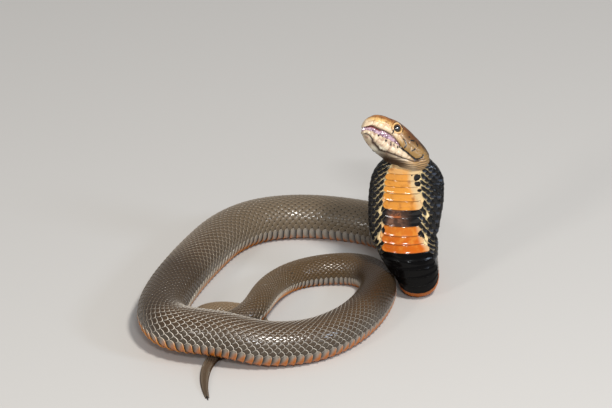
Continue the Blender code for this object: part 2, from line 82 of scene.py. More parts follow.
# The lying body from the bend back to the vent, then the tail: x, y, height, half width, half height.
LYING_BODY = (
    (59.0, -80.0, 10.2, 11.5, 10.2),
    (57.2, -69.0, 10.6, 11.8, 10.6),
    (52.8, -57.5, 10.9, 12.2, 10.9),
    (44.8, -47.6, 11.0, 12.5, 11.0),
    (33.3, -40.6, 11.0, 12.6, 11.0),
    (7.3, -33.6, 11.0, 12.7, 11.0),
    (-11.4, -33.6, 11.0, 12.7, 11.0),
    (-28.0, -38.8, 11.0, 12.7, 11.0),
    (-43.0, -52.5, 11.0, 12.7, 11.0),
    (-56.0, -76.7, 11.0, 12.8, 11.1),
    (-65.9, -101.1, 11.4, 12.8, 11.2),
    (-72.5, -123.5, 12.6, 12.8, 11.3),
    (-75.2, -147.5, 14.8, 12.8, 11.3),
    (-69.0, -164.0, 16.2, 12.7, 11.3),
    (-57.3, -170.2, 17.2, 12.6, 11.2),
    (-46.0, -172.6, 17.3, 12.6, 11.1),
    (-35.7, -174.6, 15.8, 12.5, 11.1),
    (-23.7, -175.2, 12.8, 12.4, 11.0),
    (-10.0, -172.8, 11.2, 12.1, 10.8),
    (4.0, -168.0, 10.6, 11.7, 10.6),
    (20.5, -153.4, 10.2, 10.9, 10.2),
    (30.8, -136.3, 9.7, 10.3, 9.7),
    (37.0, -118.5, 9.3, 9.8, 9.3),
    (38.6, -105.0, 8.9, 9.4, 8.9),
    (35.5, -94.5, 8.6, 9.1, 8.6),
    (28.4, -88.3, 8.3, 8.8, 8.3),
    (18.0, -86.8, 8.0, 8.5, 8.0),
    (4.2, -88.6, 7.6, 8.1, 7.6),
    (-6.1, -92.9, 7.4, 7.7, 7.1),
    (-14.2, -102.4, 8.4, 7.4, 6.9),
    (-20.0, -117.4, 11.6, 7.2, 6.7),
    (-23.6, -134.0, 15.6, 7.0, 6.5),
)
TAIL = (
    (-27.6, -147.0, 16.2, 6.9, 6.4),
    (-36.0, -154.4, 13.4, 6.6, 6.2),
    (-46.5, -153.2, 9.6, 6.2, 5.9),
    (-54.2, -146.5, 6.8, 5.8, 5.5),
    (-56.6, -137.5, 5.5, 5.4, 5.1),
    (-53.0, -129.5, 4.9, 5.0, 4.8),
    (-45.0, -126.0, 4.6, 4.7, 4.5),
    (-35.0, -126.8, 4.3, 4.4, 4.2),
    (-27.6, -130.6, 4.1, 4.2, 4.0),
    (-22.8, -138.4, 3.9, 4.0, 3.8),
    (-23.6, -148.0, 3.7, 3.8, 3.6),
    (-30.0, -155.4, 3.5, 3.6, 3.4),
    (-38.4, -161.0, 3.2, 3.3, 3.1),
    (-45.0, -167.2, 2.9, 3.0, 2.8),
    (-49.6, -176.0, 2.6, 2.7, 2.5),
    (-52.2, -188.3, 2.1, 2.2, 2.0),
    (-51.7, -205.3, 1.3, 1.3, 1.2),
    (-50.0, -213.5, 0.7, 0.6, 0.6),
)


def unit(rows):
    return rows / np.linalg.norm(rows, axis=-1, keepdims=True)


def along(rows):
    """Distance along the rows' first three columns."""
    return np.concatenate([[0.0], np.cumsum(np.linalg.norm(np.diff(rows[:, :3], axis=0), axis=1))])


def at_distance(rows, distances, wanted):
    return np.stack([np.interp(wanted, distances, column) for column in rows.T], axis=1)


def smooth_curve(points, relaxing, per_span=24):
    """A centripetal Catmull-Rom curve through the rows of points, made even and then relaxed a little."""
    rows = np.array(points, float)
    rows = np.vstack([2 * rows[0] - rows[1], rows, 2 * rows[-1] - rows[-2]])
    curve = []
    for i in range(1, len(rows) - 2):
        four = rows[i - 1 : i + 3]
        steps = np.linalg.norm(np.diff(four[:, :3], axis=0), axis=1) ** 0.5
        t0, t1, t2, t3 = np.concatenate([[0.0], np.cumsum(steps)])
        for t in t1 + (t2 - t1) * np.arange(per_span) / per_span:
            a1 = ((t1 - t) * four[0] + (t - t0) * four[1]) / (t1 - t0)
            a2 = ((t2 - t) * four[1] + (t - t1) * four[2]) / (t2 - t1)
            a3 = ((t3 - t) * four[2] + (t - t2) * four[3]) / (t3 - t2)
            b1 = ((t2 - t) * a1 + (t - t0) * a2) / (t2 - t0)
            b2 = ((t3 - t) * a2 + (t - t1) * a3) / (t3 - t1)
            curve.append(((t2 - t) * b1 + (t - t1) * b2) / (t2 - t1))
    curve = np.array(curve + [rows[-2]])
    distance = along(curve)
    even = at_distance(curve, distance, np.linspace(0.0, distance[-1], int(distance[-1]) + 1))
    for _ in range(relaxing):
        even[1:-1] = (even[:-2] + 2 * even[1:-1] + even[2:]) / 4
    return even


def framed(curve, hint):
    """Adds to each row of a curve its dorsal and left directions, with the dorsal side towards the hint."""
    head_ward = -unit(np.gradient(curve[:, :3], axis=0))
    dorsal = unit(np.array(hint) - head_ward * (head_ward @ np.array(hint))[:, None])
    return np.column_stack([curve, dorsal, np.cross(dorsal, head_ward)])


def bend_rows():
    """The rings of the sharp bend: each reaches from the crease on its inner side to the outer skin."""
    table = np.array(BEND, float)
    angles = np.arange(0.0, 90.1, 5.0)
    turn = np.radians(angles)
    outward = np.stack([np.zeros(len(turn)), -np.cos(turn), -np.sin(turn)], axis=1)
    corner = np.abs(outward[:, 1]) ** BEND_SQUARENESS + np.abs(outward[:, 2]) ** BEND_SQUARENESS
    reach = BEND_DEPTH / corner ** (1 / BEND_SQUARENESS)
    rows = np.zeros((len(turn), 11))
    rows[:, :3] = np.array([0.0, BEND_PIVOT_Y, BEND_DEPTH]) + outward * ((BEND_INNER + reach) / 2)[:, None]
    rows[:, 0] = np.interp(angles, table[:, 0], table[:, 1])
    rows[:, 3] = np.interp(angles, table[:, 0], table[:, 2])
    rows[:, 4] = (reach - BEND_INNER) / 2
    rows[:, 5:8] = -outward
    rows[:, 8] = 1.0
    return rows


def body_rings():
    """Rings a millimetre apart: centre, half width, half depth, dorsal, left, and the bend to the left."""
    bend = bend_rows()
    neck = framed(smooth_curve(RAISED_NECK + (tuple(bend[0, :5]),), NECK_RELAXING), (0.0, 1.0, 0.0))
    neck[:, 8:] = bend[0, 8:]
    lying = smooth_curve((tuple(bend[-1, :5]),) + LYING_BODY + TAIL, BODY_RELAXING)
    rows = np.vstack([neck[:-1], bend, framed(lying, (0.0, 0.0, 1.0))[1:]])
    distance = along(rows)
    wanted = np.arange(0.0, distance[-1], 1.0)
    rings = at_distance(rows, distance, wanted)
    for _ in range(JOIN_RELAXING):
        rings[1:-1] = (rings[:-2] + 2 * rings[1:-1] + rings[2:]) / 4
    rings[:, 5:8] = unit(rings[:, 5:8])
    rings[:, 8:11] = unit(rings[:, 8:11])
    turning = np.gradient(unit(np.gradient(rings[:, :3], axis=0)), axis=0)
    bend_to_left = (turning * rings[:, 8:11]).sum(axis=1)
    return wanted, np.column_stack([rings, bend_to_left])


distance, rings = body_rings()
LENGTH = distance[-1]

# THE SKIN OF THE BODY
# One thin, stretchy skin under all the scales, from the nape to the tip of the tail. It is a loft whose
# columns follow the rows of scales, so a place on it is a share of the length and a share of the girth.
# Millimetres from the rings' own surface in to the skin.
SKIN_DEPTH = 0.35
# How square the lying belly is, and how far it settles onto the floor.
BELLY_SQUARENESS = 0.2
BELLY_SINK = 0.45
# The spread hood: the share of its width that is thick, the thickness at its edges, how much it cups, and
# the widths against the depth at which a ring starts to be hood and is wholly so.
HOOD_CORE = 0.55
HOOD_EDGE = 0.42
HOOD_CUPPING = 0.3
HOOD_FROM = 1.35
HOOD_FULL = 2.45
# Distance from the nape, and the angle that the belly plates span there to each side of the ventral line.
PLATE_SPANS = ((0, 31), (10, 23.5), (16, 22.5), (25, 24.5), (40, 26), (50, 32), (58, 50), (66, 70), (75, 84),
               (90, 80))
# Distance from the nape, and the angle by which the belly of the hood faces to the snake's right there.
HOOD_TURNS = ((0, 9.5), (16, 9.0), (26, 5.6), (45, 5.2))
# Across half the girth: columns under the belly plate, its share of the girth, and columns up the flank.
PLATE_COLUMNS = 12
PLATE_SHARE = 0.14
FLANK_SHARE = 0.5 - PLATE_SHARE
FLANK_COLUMNS = 36
# Points on which the arc of each flank is measured, before its columns are set out.
ARC_POINTS = 200
# Relative widths of the twelve rows of scales from the belly plates up to the back, on the round body.
ROW_WIDTHS = (2.1, 2.05, 1.95, 1.85, 1.75, 1.65, 1.55, 1.45, 1.35, 1.3, 1.25, 1.2)


def read_off(table, wanted):
    """The second column of a table at the wanted values of the first."""
    return np.interp(wanted, *np.array(table, float).T)


def squared(values, power):
    """Values from -1 to 1 with the same sign, drawn outwards by a power below one."""
    return np.sign(values) * np.abs(values) ** power


def flatness(rows):
    """How far a ring belongs to the spread hood, from 0 on the round body to 1 at its widest."""
    return np.clip((rows[:, 3] / rows[:, 4] - HOOD_FROM) / (HOOD_FULL - HOOD_FROM), 0.0, 1.0)


def section(rows, angle, inset):
    """Points of each ring at each angle from the dorsal line, round by the left, in millimetres."""
    hood = flatness(rows)[:, None]
    across, up = np.sin(angle), np.cos(angle)
    lying = np.clip(rows[:, 7], 0.0, 1.0)[:, None]
    power = np.where(up < 0, 1 - BELLY_SQUARENESS * lying, 1.0)
    side = squared(across, power) * (rows[:, 3, None] - inset)
    crowding = np.clip(side * rows[:, 11, None], 0.0, None)
    side = side / (1 + crowding**4) ** 0.25
    height = squared(up, power)
    core = np.exp(-np.abs(across / HOOD_CORE) ** 3)
    thickness = 1 - hood * (1 - core) * (1 - HOOD_EDGE)
    depth = (rows[:, 4, None] - inset) * (height * thickness - hood * HOOD_CUPPING * across**2)
    points = rows[:, None, :3] + rows[:, None, 8:11] * side[..., None] + rows[:, None, 5:8] * depth[..., None]
    points[..., 2] = np.maximum(points[..., 2] - BELLY_SINK * lying, 0.0)
    return points


def row_lines(rows):
    """For each ring, the share of the flank's arc below each column: graded on the body, even on the hood."""
    graded = np.concatenate([[0.0], np.cumsum(ROW_WIDTHS)]) / np.sum(ROW_WIDTHS)
    place = np.linspace(0.0, 1.0, FLANK_COLUMNS + 1)
    graded = np.interp(place, np.linspace(0.0, 1.0, len(graded)), graded)
    hood = flatness(rows)[:, None]
    return graded * (1 - hood) + place * hood


def skin_grid(rows, inset):
    """The skin's points: each ring runs from the ventral line up the left flank, and down the right one."""
    count = len(rows)
    half_span = np.radians(read_off(PLATE_SPANS, np.arange(count)))[:, None]
    fine = np.linspace(0.0, 1.0, ARC_POINTS)
    grid = np.zeros((count, 2 * (PLATE_COLUMNS + FLANK_COLUMNS) + 1, 3))
    turned = np.radians(read_off(HOOD_TURNS, np.arange(count))) * flatness(rows)
    turned = turned[:, None]
    lines = row_lines(rows)
    plate_angle = half_span * np.linspace(0.0, 1.0, PLATE_COLUMNS + 1)
    for side in (1, -1):
        plate = section(rows, np.pi + turned - side * plate_angle, inset)
        flank = section(rows, (side * (np.pi - half_span) + turned) * (1 - fine), inset)
        arc = np.cumsum(np.linalg.norm(np.diff(flank, axis=1), axis=2), axis=1)
        arc = np.hstack([np.zeros((count, 1)), arc])
        spread = np.zeros((count, FLANK_COLUMNS + 1, 3))
        for i in range(count):
            wanted = lines[i] * arc[i, -1]
            for axis in range(3):
                spread[i, :, axis] = np.interp(wanted, arc[i], flank[i, :, axis])
        half = np.concatenate([plate, spread[:, 1:]], axis=1)
        if side > 0:
            grid[:, : half.shape[1]] = half
        else:
            grid[:, half.shape[1] :] = half[:, -2::-1]
    return grid


def girth_share():
    """Each column's share of the girth, from 0 at the ventral line round by the left to 1 there."""
    plate = np.linspace(0.0, PLATE_SHARE, PLATE_COLUMNS + 1)
    flank = np.linspace(PLATE_SHARE, 0.5, FLANK_COLUMNS + 1)[1:]
    half = np.concatenate([plate, flank])
    return np.concatenate([half, 1 - half[-2::-1]])


def tube(name, grid, u, v):
    """A closed skin over rings of points, whose unwrap, OFBake, runs u along it and v round it."""
    count, sides = grid.shape[0], grid.shape[1] - 1
    middles = np.array([grid[0, :-1].mean(axis=0), grid[-1, :-1].mean(axis=0)])
    points = np.vstack([grid[:, :-1].reshape(-1, 3), middles])
    number = np.arange(count * sides).reshape(count, sides)
    turned = np.roll(number, -1, axis=1)
    quads = np.stack([number[:-1], number[1:], turned[1:], turned[:-1]], axis=-1).reshape(-1, 4)
    head_fan = np.stack([np.full(sides, count * sides), number[0], turned[0]], axis=-1)
    tail_fan = np.stack([turned[-1], number[-1], np.full(sides, count * sides + 1)], axis=-1)
    faces = quads.tolist() + head_fan.tolist() + tail_fan.tolist()
    low = np.meshgrid(u[:-1], v[:-1], indexing="ij")
    high = np.meshgrid(u[1:], v[1:], indexing="ij")
    corners = np.stack([low[0], low[1], high[0], low[1], high[0], high[1], low[0], high[1]], axis=-1)
    middle_v = (v[:-1] + v[1:]) / 2
    first_u, last_u = np.full(sides, u[0]), np.full(sides, u[-1])
    head_corners = np.stack([np.zeros(sides), middle_v, first_u, v[:-1], first_u, v[1:]], axis=-1)
    tail_corners = np.stack([last_u, v[1:], last_u, v[:-1], np.ones(sides), middle_v], axis=-1)
    every_corner = np.concatenate([corners.ravel(), head_corners.ravel(), tail_corners.ravel()])
    mesh = bpy.data.meshes.new(name)
    mesh.from_pydata((points - MIDDLE) * MM, [], faces)
    unwrap = mesh.uv_layers.new(name="OFBake")
    unwrap.data.foreach_set("uv", every_corner)
    mesh.shade_smooth()
    return in_scene(name, mesh)


def in_scene(name, data):
    """A new object in the scene that shows this mesh, light or camera."""
    made = bpy.data.objects.new(name, data)
    bpy.context.scene.collection.objects.link(made)
    return made


def keep(mesh, name, values):
    """Stores a number for each point of a mesh, for its material or for the coat's tree to read."""
    mesh.attributes.new(name, "FLOAT", "POINT").data.foreach_set("value", np.asarray(values, np.float32))


def keep_places(mesh, name, places):
    """Stores a place or a direction for each point of a mesh."""
    values = np.asarray(places, np.float32).ravel()
    mesh.attributes.new(name, "FLOAT_VECTOR", "POINT").data.foreach_set("vector", values)


def normals_of(piece):
    values = np.zeros(len(piece.data.vertices) * 3, np.float32)
    piece.data.vertex_normals.foreach_get("vector", values)
    return values.reshape(-1, 3).astype(float)


# The unwrap keeps a margin at each end for the closing caps.
UNWRAP_MARGIN = 0.01
UNWRAP_REACH = 1 - 2 * UNWRAP_MARGIN


def unwrapped(reached, whole):
    """The place on the unwrap of a distance along a skin, out of its whole length."""
    return UNWRAP_MARGIN + UNWRAP_REACH * reached / whole


girth = girth_share()
skin = tube("body_skin", skin_grid(rings, SKIN_DEPTH), unwrapped(distance, LENGTH), girth)
keep_places(skin.data, "outward", normals_of(skin))
keep(skin.data, "along", np.append(np.repeat(distance, len(girth) - 1), [0.0, LENGTH]))
keep(skin.data, "round", np.append(np.tile(1 - np.abs(1 - 2 * girth[:-1]), len(distance)), [0.0, 0.0]))


class Wire:
    """A socket of a node tree, so that maths on it is written as an expression, which adds the nodes."""

    def __init__(self, tree, socket=None):
        self.tree = tree
        self.socket = socket

    def node(self, kind, sockets=None, output=0, **settings):
        """Adds a node of a kind: its settings first, then its sockets' values or links by name or number."""
        node = self.tree.nodes.new(kind)
        for name, value in settings.items():
            setattr(node, name, value)
        for key, value in (sockets or {}).items():
            if isinstance(value, Wire):
                self.tree.links.new(value.socket, node.inputs[key])
            else:
                node.inputs[key].default_value = value
        return Wire(self.tree, node.outputs[output])

    def maths(self, operation, *values):
        return self.node("ShaderNodeMath", dict(enumerate(values)), operation=operation)

    def __add__(self, other):
        return self.maths("ADD", self, other)

    def __radd__(self, other):
        return self.maths("ADD", other, self)

    def __sub__(self, other):
        return self.maths("SUBTRACT", self, other)

    def __rsub__(self, other):
        return self.maths("SUBTRACT", other, self)

    def __mul__(self, other):
        return self.maths("MULTIPLY", self, other)

    def __rmul__(self, other):
        return self.maths("MULTIPLY", other, self)

    def __truediv__(self, other):
        return self.maths("DIVIDE", self, other)

    def also(self, output):
        """Another output of the node that this wire comes from."""
        return Wire(self.tree, self.socket.node.outputs[output])

    def between(self, low, high):
        """Rises smoothly from 0 at the low value to 1 at the high one."""
        sockets = {"Value": self, "From Min": low, "From Max": high}
        return self.node("ShaderNodeMapRange", sockets, interpolation_type="SMOOTHSTEP")

    def within(self, rising, falling):
        """Rises from 0 to 1 over the first pair of values, and falls back to 0 over the second."""
        return self.between(*rising) * (1 - self.between(*falling))

    def near(self, value, inner, outer):
        """1 within the inner distance of a value, falling smoothly to 0 at the outer one."""
        return 1 - self.maths("ABSOLUTE", self - value).between(inner, outer)

    def noise(self, scale, **sockets):
        """A cloudy pattern with so many cells to a metre."""
        place = self.node("ShaderNodeTexCoord", output="Object")
        return self.node("ShaderNodeTexNoise", {"Vector": place, "Scale": scale, "Detail": 3.0, **sockets})

    def stored(self, name, output="Fac"):
        """A number, or as output Vector a place, that the mesh keeps for each of its points."""
        return self.node("ShaderNodeAttribute", attribute_name=name, output=output)

    def mixed(self, under, over):
        """One colour over another, by this mask. The node's sockets share names, so they go by number."""
        under, over = [value if isinstance(value, Wire) else (*value, 1.0) for value in (under, over)]
        return self.node("ShaderNodeMix", {0: self, 6: under, 7: over}, output=2, data_type="RGBA")


def linear(colour):
    """A colour given in the usual 0 to 255 steps, as the light values that a shader takes."""
    share = np.array(colour) / 255
    return tuple(np.where(share <= 0.04045, share / 12.92, ((share + 0.055) / 1.055) ** 2.4))


def finish(name, roughness, coat=0.0, specular=0.5, coat_roughness=0.03):
    """A new material, its shader with its plain values, and a wire in its tree to start expressions from."""
    made = bpy.data.materials.new(name)
    made.use_nodes = True
    shader = made.node_tree.nodes["Principled BSDF"]
    shader.inputs["Roughness"].default_value = roughness
    shader.inputs["Coat Weight"].default_value = coat
    shader.inputs["Coat Roughness"].default_value = coat_roughness
    shader.inputs["Specular IOR Level"].default_value = specular
    return made, shader, Wire(made.node_tree)


def link(wire, shader, socket):
    """Leads a wire into one of the shader's sockets."""
    wire.tree.links.new(wire.socket, shader.inputs[socket])


# Where the skin shows between the scales: black along the back, cream on the front of the spread hood.
SKIN_BLACK = linear((24, 20, 16))
SKIN_CREAM = linear((214, 190, 140))
# Distance from the nape at which the hood ends.
HOOD_END = 66.0
skin_finish, shader, wire = finish("stretchy skin", 0.6)
on_hood = 1 - wire.stored("along").between(HOOD_END - 16, HOOD_END - 10)
front_side = 1 - wire.stored("round").between(0.36, 0.48)
patches = wire.noise(500.0).between(0.3, 0.6) * 0.7 + 0.3
link((on_hood * front_side * patches).mixed(SKIN_BLACK, SKIN_CREAM), shader, "Base Color")
skin.data.materials.append(skin_finish)
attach(skin, "root")
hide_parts("hood", "neck_base", "tail_1", "tail_2", "tail_3", *[f"body_{n}" for n in range(1, 9)])

# THE SCALES OF THE BACK AND FLANKS
# Smooth, thin, horny scales in twenty-three slanting rows, fewer on the tail, one to a belly plate along
# the body. Each is rooted at its front under its neighbours, and its free rear edge is paler.
# Distances from the nape: the rear edges of the belly plates down the raised neck, then further back the
# length of a plate at each distance. The scales keep step with the plates.
NECK_EDGES = (2.2, 6.5, 10.8, 15.0, 18.3, 21.6, 25.7, 30.4, 34.7, 39.4, 45.1, 50.0, 54.7, 58.9, 62.5, 65.6,
              68.6, 71.6, 74.6, 77.8)
PITCH = ((78, 3.3), (95, 4.0), (104, 4.25), (300, 4.1), (330, 3.75), (450, 3.75), (510, 3.3), (600, 3.0),
         (660, 2.7), (720, 2.2), (790, 1.6))
# Where each run of the body ends, and the rows of scales between its belly plate and the middle of its back.
BODY_RANKS = 12
ROWS = ((56.0, 20), (560.0, BODY_RANKS), (640.0, 10), (700.0, 8), (1000.0, 6))
# Down to this distance from the nape the lowest row is missing, and skin shows beside the plates.
BARE_EDGE = 22.0
# A scale's height in millimetres, and its length and width against the room it has in its row.
SCALE_RISE = 0.42
SCALE_LONG = 1.1
SCALE_WIDE = 0.93
BACK_SCALE_WIDE = 0.86
HOOD_SCALE_WIDE = (0.66, 0.86)
HOOD_SLANT = 0.011
SCALE_POINTS = 12
# Pale scales among the black ones on the front of the hood: side (1 is the snake's left), first and last
# share of the way from the belly plates to the back, first and last distance, and how orange each is.
PALE_SCALES = (
    (1, 0.0, 0.1, 5, 12.5, 0.1),
    (1, 0.0, 0.06, 18, 21, 0.1),
    (1, 0.0, 0.06, 24, 27, 0.3),
    (1, 0.1, 0.16, 33, 36, 0.0),
    (1, 0.0, 0.05, 38, 41, 0.5),
    (1, 0.05, 0.12, 47, 50, 0.1),
    (1, 0.0, 0.05, 46.5, 52, 0.3),
    (-1, 0.0, 0.06, 17, 20, 0.1),
    (-1, 0.0, 0.06, 24, 27, 0.6),
    (-1, 0.08, 0.12, 32, 35, 0.0),
    (-1, 0.0, 0.06, 38, 41, 0.3),
    (-1, 0.0, 0.07, 44, 46, 0.7),
    (-1, 0.07, 0.14, 47, 50, 0.2),
)
# What each root of a scale or plate keeps, after its two places on the unwrap.
ROOT_LABELS = ("long", "wide", "distance", "rank", "slant", "pale", "orange", "lift")
# How close to the seam of the unwrap a point may come, and how far aside it is read between two faces.
SEAM_MARGIN = 0.00002
HAIR = 0.00005
# Half the patch of the bake's map that each scale or plate takes up.
PATCH = 0.0015
SEED = 7


def plate_places():
    """The middle and the length of each belly plate, as distances from the nape."""
    edges = list(NECK_EDGES)
    while edges[-1] < LENGTH - 3:
        edges.append(edges[-1] + read_off(PITCH, edges[-1]))
    return (np.array(edges[:-1]) + np.array(edges[1:])) / 2, np.diff(edges)


def lie_flat(name, rows):
    """An object with a point on the flat unwrap for each root, which keeps the root's sizes and marks."""
    mesh = bpy.data.meshes.new(name)
    rows = np.array(rows)
    mesh.from_pydata(np.column_stack([rows[:, :2], np.zeros(len(rows))]), [], [])
    for number, label in enumerate(ROOT_LABELS, 2):
        keep(mesh, label, rows[:, number])
    return in_scene(name, mesh)


def paleness(side, share, s):
    """Whether a scale of the hood is pale, and how orange it is."""
    for pale_side, inner, outer, low, high, orange in PALE_SCALES:
        if side == pale_side and inner <= share < outer and low <= s < high:
            return 1.0, orange
    return 0.0, 0.0


def scale_roots(first, last):
    """The staggered lattice of scales between two distances: each root's place, and what it keeps."""
    places, lengths = plate_places()
    index = np.arange(len(places))
    rows = []
    start = 0.0
    for end, ranks in ROWS:
        for rank in range(1, ranks + 1):
            for number in index[:-1] + 0.5 * (rank % 2):
                s = np.interp(number, index, places)
                if not (max(start, first) <= s < min(end, last)):
                    continue
                if rank == 1 and s < BARE_EDGE:
                    continue
                share = rank / ranks
                pitch = np.interp(s, places, lengths)
                wide = np.interp(share, (0.2, 0.6), (SCALE_WIDE, BACK_SCALE_WIDE))
                if start == 0:
                    wide = np.interp(share, (0.02, 0.2), HOOD_SCALE_WIDE)
                half_long = pitch / 2 * UNWRAP_REACH / LENGTH * SCALE_LONG
                half_wide = FLANK_SHARE / ranks * wide
                v = PLATE_SHARE + FLANK_SHARE * share
                slanting = np.interp(s, (4, 10, HOOD_END - 14, HOOD_END), (0, 1, 1, 0))
                slant = HOOD_SLANT * slanting * (1 - share)
                for side, across in ((1, v), (-1, 1 - v))[: 1 if rank == ranks else 2]:
                    pale, orange = paleness(side, share, s)
                    sizes = (half_long, half_wide, s, share, side * slant, pale, orange, 1 - 0.5 * pale)
                    rows.append((unwrapped(s, LENGTH), across, *sizes))
        start = end
    return rows


def plain_shape(name, points, faces, rim):
    """A shape to repeat over the skin: its points keep their place in it, and whether they are free rim."""
    mesh = bpy.data.meshes.new(name)
    mesh.from_pydata(points, [], faces)
    keep(mesh, "rim", rim)
    keep_places(mesh, "place", points)
    return in_scene(name, mesh)


def scale_shape():
    """One scale, a closed plate about a unit across: front at -X, free rear tip at +X, Z up from the skin."""
    turn = np.linspace(0.0, 2 * np.pi, SCALE_POINTS, endpoint=False)
    x = squared(np.cos(turn), np.where(np.cos(turn) > 0, 1.25, 1.0))
    y = squared(np.sin(turn), 1.15)
    rear = np.clip((x + 0.25) / 0.6, 0.0, 1.0)
    root = np.stack([x, y, np.full(len(x), -0.7)], axis=1)
    edge = np.stack([x, y, 0.42 + 0.5 * x], axis=1)
    inner = np.stack([0.8 * x, 0.8 * y, 0.55 + 0.42 * 0.8 * x], axis=1)
    count = SCALE_POINTS
    points = np.vstack([root, edge, inner, [(0.0, 0.0, 0.72)]])
    rim = np.concatenate([rear, rear, np.zeros(count + 1)])
    faces = [tuple(range(count))[::-1]]
    for k in range(count):
        after = (k + 1) % count
        faces.append((k, after, after + count, k + count))
        faces.append((k + count, after + count, after + 2 * count, k + 2 * count))
        faces.append((k + 2 * count, after + 2 * count, 3 * count))
    return plain_shape("scale_shape", points, faces, rim)


def wrapping_tree(name):
    """A node tree that sets a shape on each root of the flat unwrap, then wraps the coat onto the skin."""
    tree = bpy.data.node_groups.new(name, "GeometryNodeTree")
    face = tree.interface
    face.new_socket("Roots", in_out="INPUT", socket_type="NodeSocketGeometry")
    for label in ("Shape", "Skin"):
        face.new_socket(label, in_out="INPUT", socket_type="NodeSocketObject")
    face.new_socket("Rise", in_out="INPUT", socket_type="NodeSocketFloat")
    face.new_socket("Seed", in_out="INPUT", socket_type="NodeSocketInt")
    face.new_socket("Finish", in_out="INPUT", socket_type="NodeSocketMaterial")
    face.new_socket("Coat", in_out="OUTPUT", socket_type="NodeSocketGeometry")
    wire = Wire(tree)
    given = tree.nodes.new("NodeGroupInput")
    inputs = {socket.name: Wire(tree, socket) for socket in given.outputs if socket.name}

    def named(label, kind="FLOAT"):
        return wire.node("GeometryNodeInputNamedAttribute", {"Name": label}, data_type=kind)

    def store(coat, label, value, kind="FLOAT", domain="POINT"):
        sockets = {"Geometry": coat, "Name": label, "Value": value}
        return wire.node("GeometryNodeStoreNamedAttribute", sockets, data_type=kind, domain=domain)

    chance = wire.node("FunctionNodeRandomValue", {2: 0.0, 3: 1.0, "Seed": inputs["Seed"]}, output=1)
    where = wire.node("GeometryNodeInputPosition")
    roots = store(inputs["Roots"], "tint", chance)
    roots = store(roots, "root", where, "FLOAT_VECTOR")
    shape = wire.node("GeometryNodeObjectInfo", {"Object": inputs["Shape"]}, output="Geometry")
    size = wire.node("ShaderNodeCombineXYZ", {"X": named("long"), "Y": named("wide"), "Z": named("lift")})
    on_points = {"Points": roots, "Instance": shape, "Scale": size}
    repeated = wire.node("GeometryNodeInstanceOnPoints", on_points)
    coat = wire.node("GeometryNodeRealizeInstances", {"Geometry": repeated})
    flat = wire.node("ShaderNodeSeparateXYZ", {"Vector": where})
    height = flat.also("Z")
    own_place = named("place", "FLOAT_VECTOR")
    along_scale = wire.node("ShaderNodeSeparateXYZ", {"Vector": own_place})
    across = wire.maths("FLOORED_MODULO", flat.also("Y") + named("slant") * along_scale, 1.0)
    across = wire.maths("MINIMUM", wire.maths("MAXIMUM", across, SEAM_MARGIN), 1 - SEAM_MARGIN)
    coat = store(coat, "height", height)
    body = wire.node("GeometryNodeObjectInfo", {"Object": inputs["Skin"]}, output="Geometry")

    def read(value, spot):
        sockets = {"Mesh": body, "Value": value, "UV Map": named("OFBake", "FLOAT_VECTOR"), "Sample UV": spot}
        return wire.node("GeometryNodeSampleUVSurface", sockets, data_type="FLOAT_VECTOR")

    # A spot that falls exactly between two faces of the skin is read from a hair beside it.
    found = read(where, wire.node("ShaderNodeCombineXYZ", {"X": flat, "Y": across})).also("Is Valid")
    aside = (1 - found) * HAIR
    across = wire.maths("MINIMUM", across + aside, 1 - 2 * HAIR)
    spot = wire.node("ShaderNodeCombineXYZ", {"X": flat + aside, "Y": across})

    raised = {0: read(named("outward", "FLOAT_VECTOR"), spot), "Scale": height * inputs["Rise"]}
    lift = wire.node("ShaderNodeVectorMath", raised, operation="SCALE")
    wrapped = wire.node("ShaderNodeVectorMath", {0: read(where, spot), 1: lift}, operation="ADD")
    # Nothing reaches below the floor.
    level = wire.node("ShaderNodeVectorMath", {0: wrapped, 1: (-10.0, -10.0, 0.0)}, operation="MAXIMUM")
    placed = wire.node("GeometryNodeSetPosition", {"Geometry": coat, "Position": level})
    small = wire.node("ShaderNodeVectorMath", {0: own_place, "Scale": PATCH}, operation="SCALE")
    patch = wire.node("ShaderNodeVectorMath", {0: named("root", "FLOAT_VECTOR"), 1: small}, operation="ADD")
    placed = store(placed, "OFBake", patch, "FLOAT2", "CORNER")
    smooth = wire.node("GeometryNodeSetShadeSmooth", {"Geometry": placed})
    dressed = wire.node("GeometryNodeSetMaterial", {"Geometry": smooth, "Material": inputs["Finish"]})
    result = tree.nodes.new("NodeGroupOutput")
    tree.links.new(dressed.socket, result.inputs["Coat"])
    return tree


def wrapped_coat(name, tree, roots, shape, material, rise, under):
    """The coat that the tree makes from its roots, as a plain mesh of its own."""
    holder = lie_flat(name, roots)
    modifier = holder.modifiers.new("coat", "NODES")
    modifier.node_group = tree
    values = {"Shape": shape, "Skin": under, "Rise": rise * MM, "Seed": SEED, "Finish": material}
    for socket in tree.interface.items_tree:
        if socket.item_type == "SOCKET" and socket.name in values:
            modifier[socket.identifier] = values[socket.name]
    bpy.context.view_layer.update()
    mesh = bpy.data.meshes.new_from_object(holder.evaluated_get(bpy.context.evaluated_depsgraph_get()))
    holder.modifiers.remove(modifier)
    holder.data = mesh
    mesh.name = name
    return holder


OLIVE = linear((78, 60, 41))
OLIVE_DARK = linear((58, 42, 27))
OLIVE_GREY = linear((72, 64, 54))
BACK_SKY_SHEEN = linear((104, 90, 72))
PALE_SHEEN_EDGE = linear((210, 200, 186))
GREY_EDGE = linear((124, 110, 92))
FRONT_SHADE = linear((36, 26, 17))
TAIL_BROWN = linear((64, 43, 23))
BEND_BROWN = linear((50, 36, 22))
INNER_TAN = linear((82, 60, 31))
HOOD_SKY_SHEEN = linear((52, 60, 74))
TAIL_TAN_SHEEN = linear((158, 134, 104))
HOOD_BLACK = linear((8, 8, 10))
HOOD_CREAM = linear((222, 198, 150))
HOOD_ORANGE = linear((226, 146, 62))
HOOD_RIM = linear((112, 104, 90))
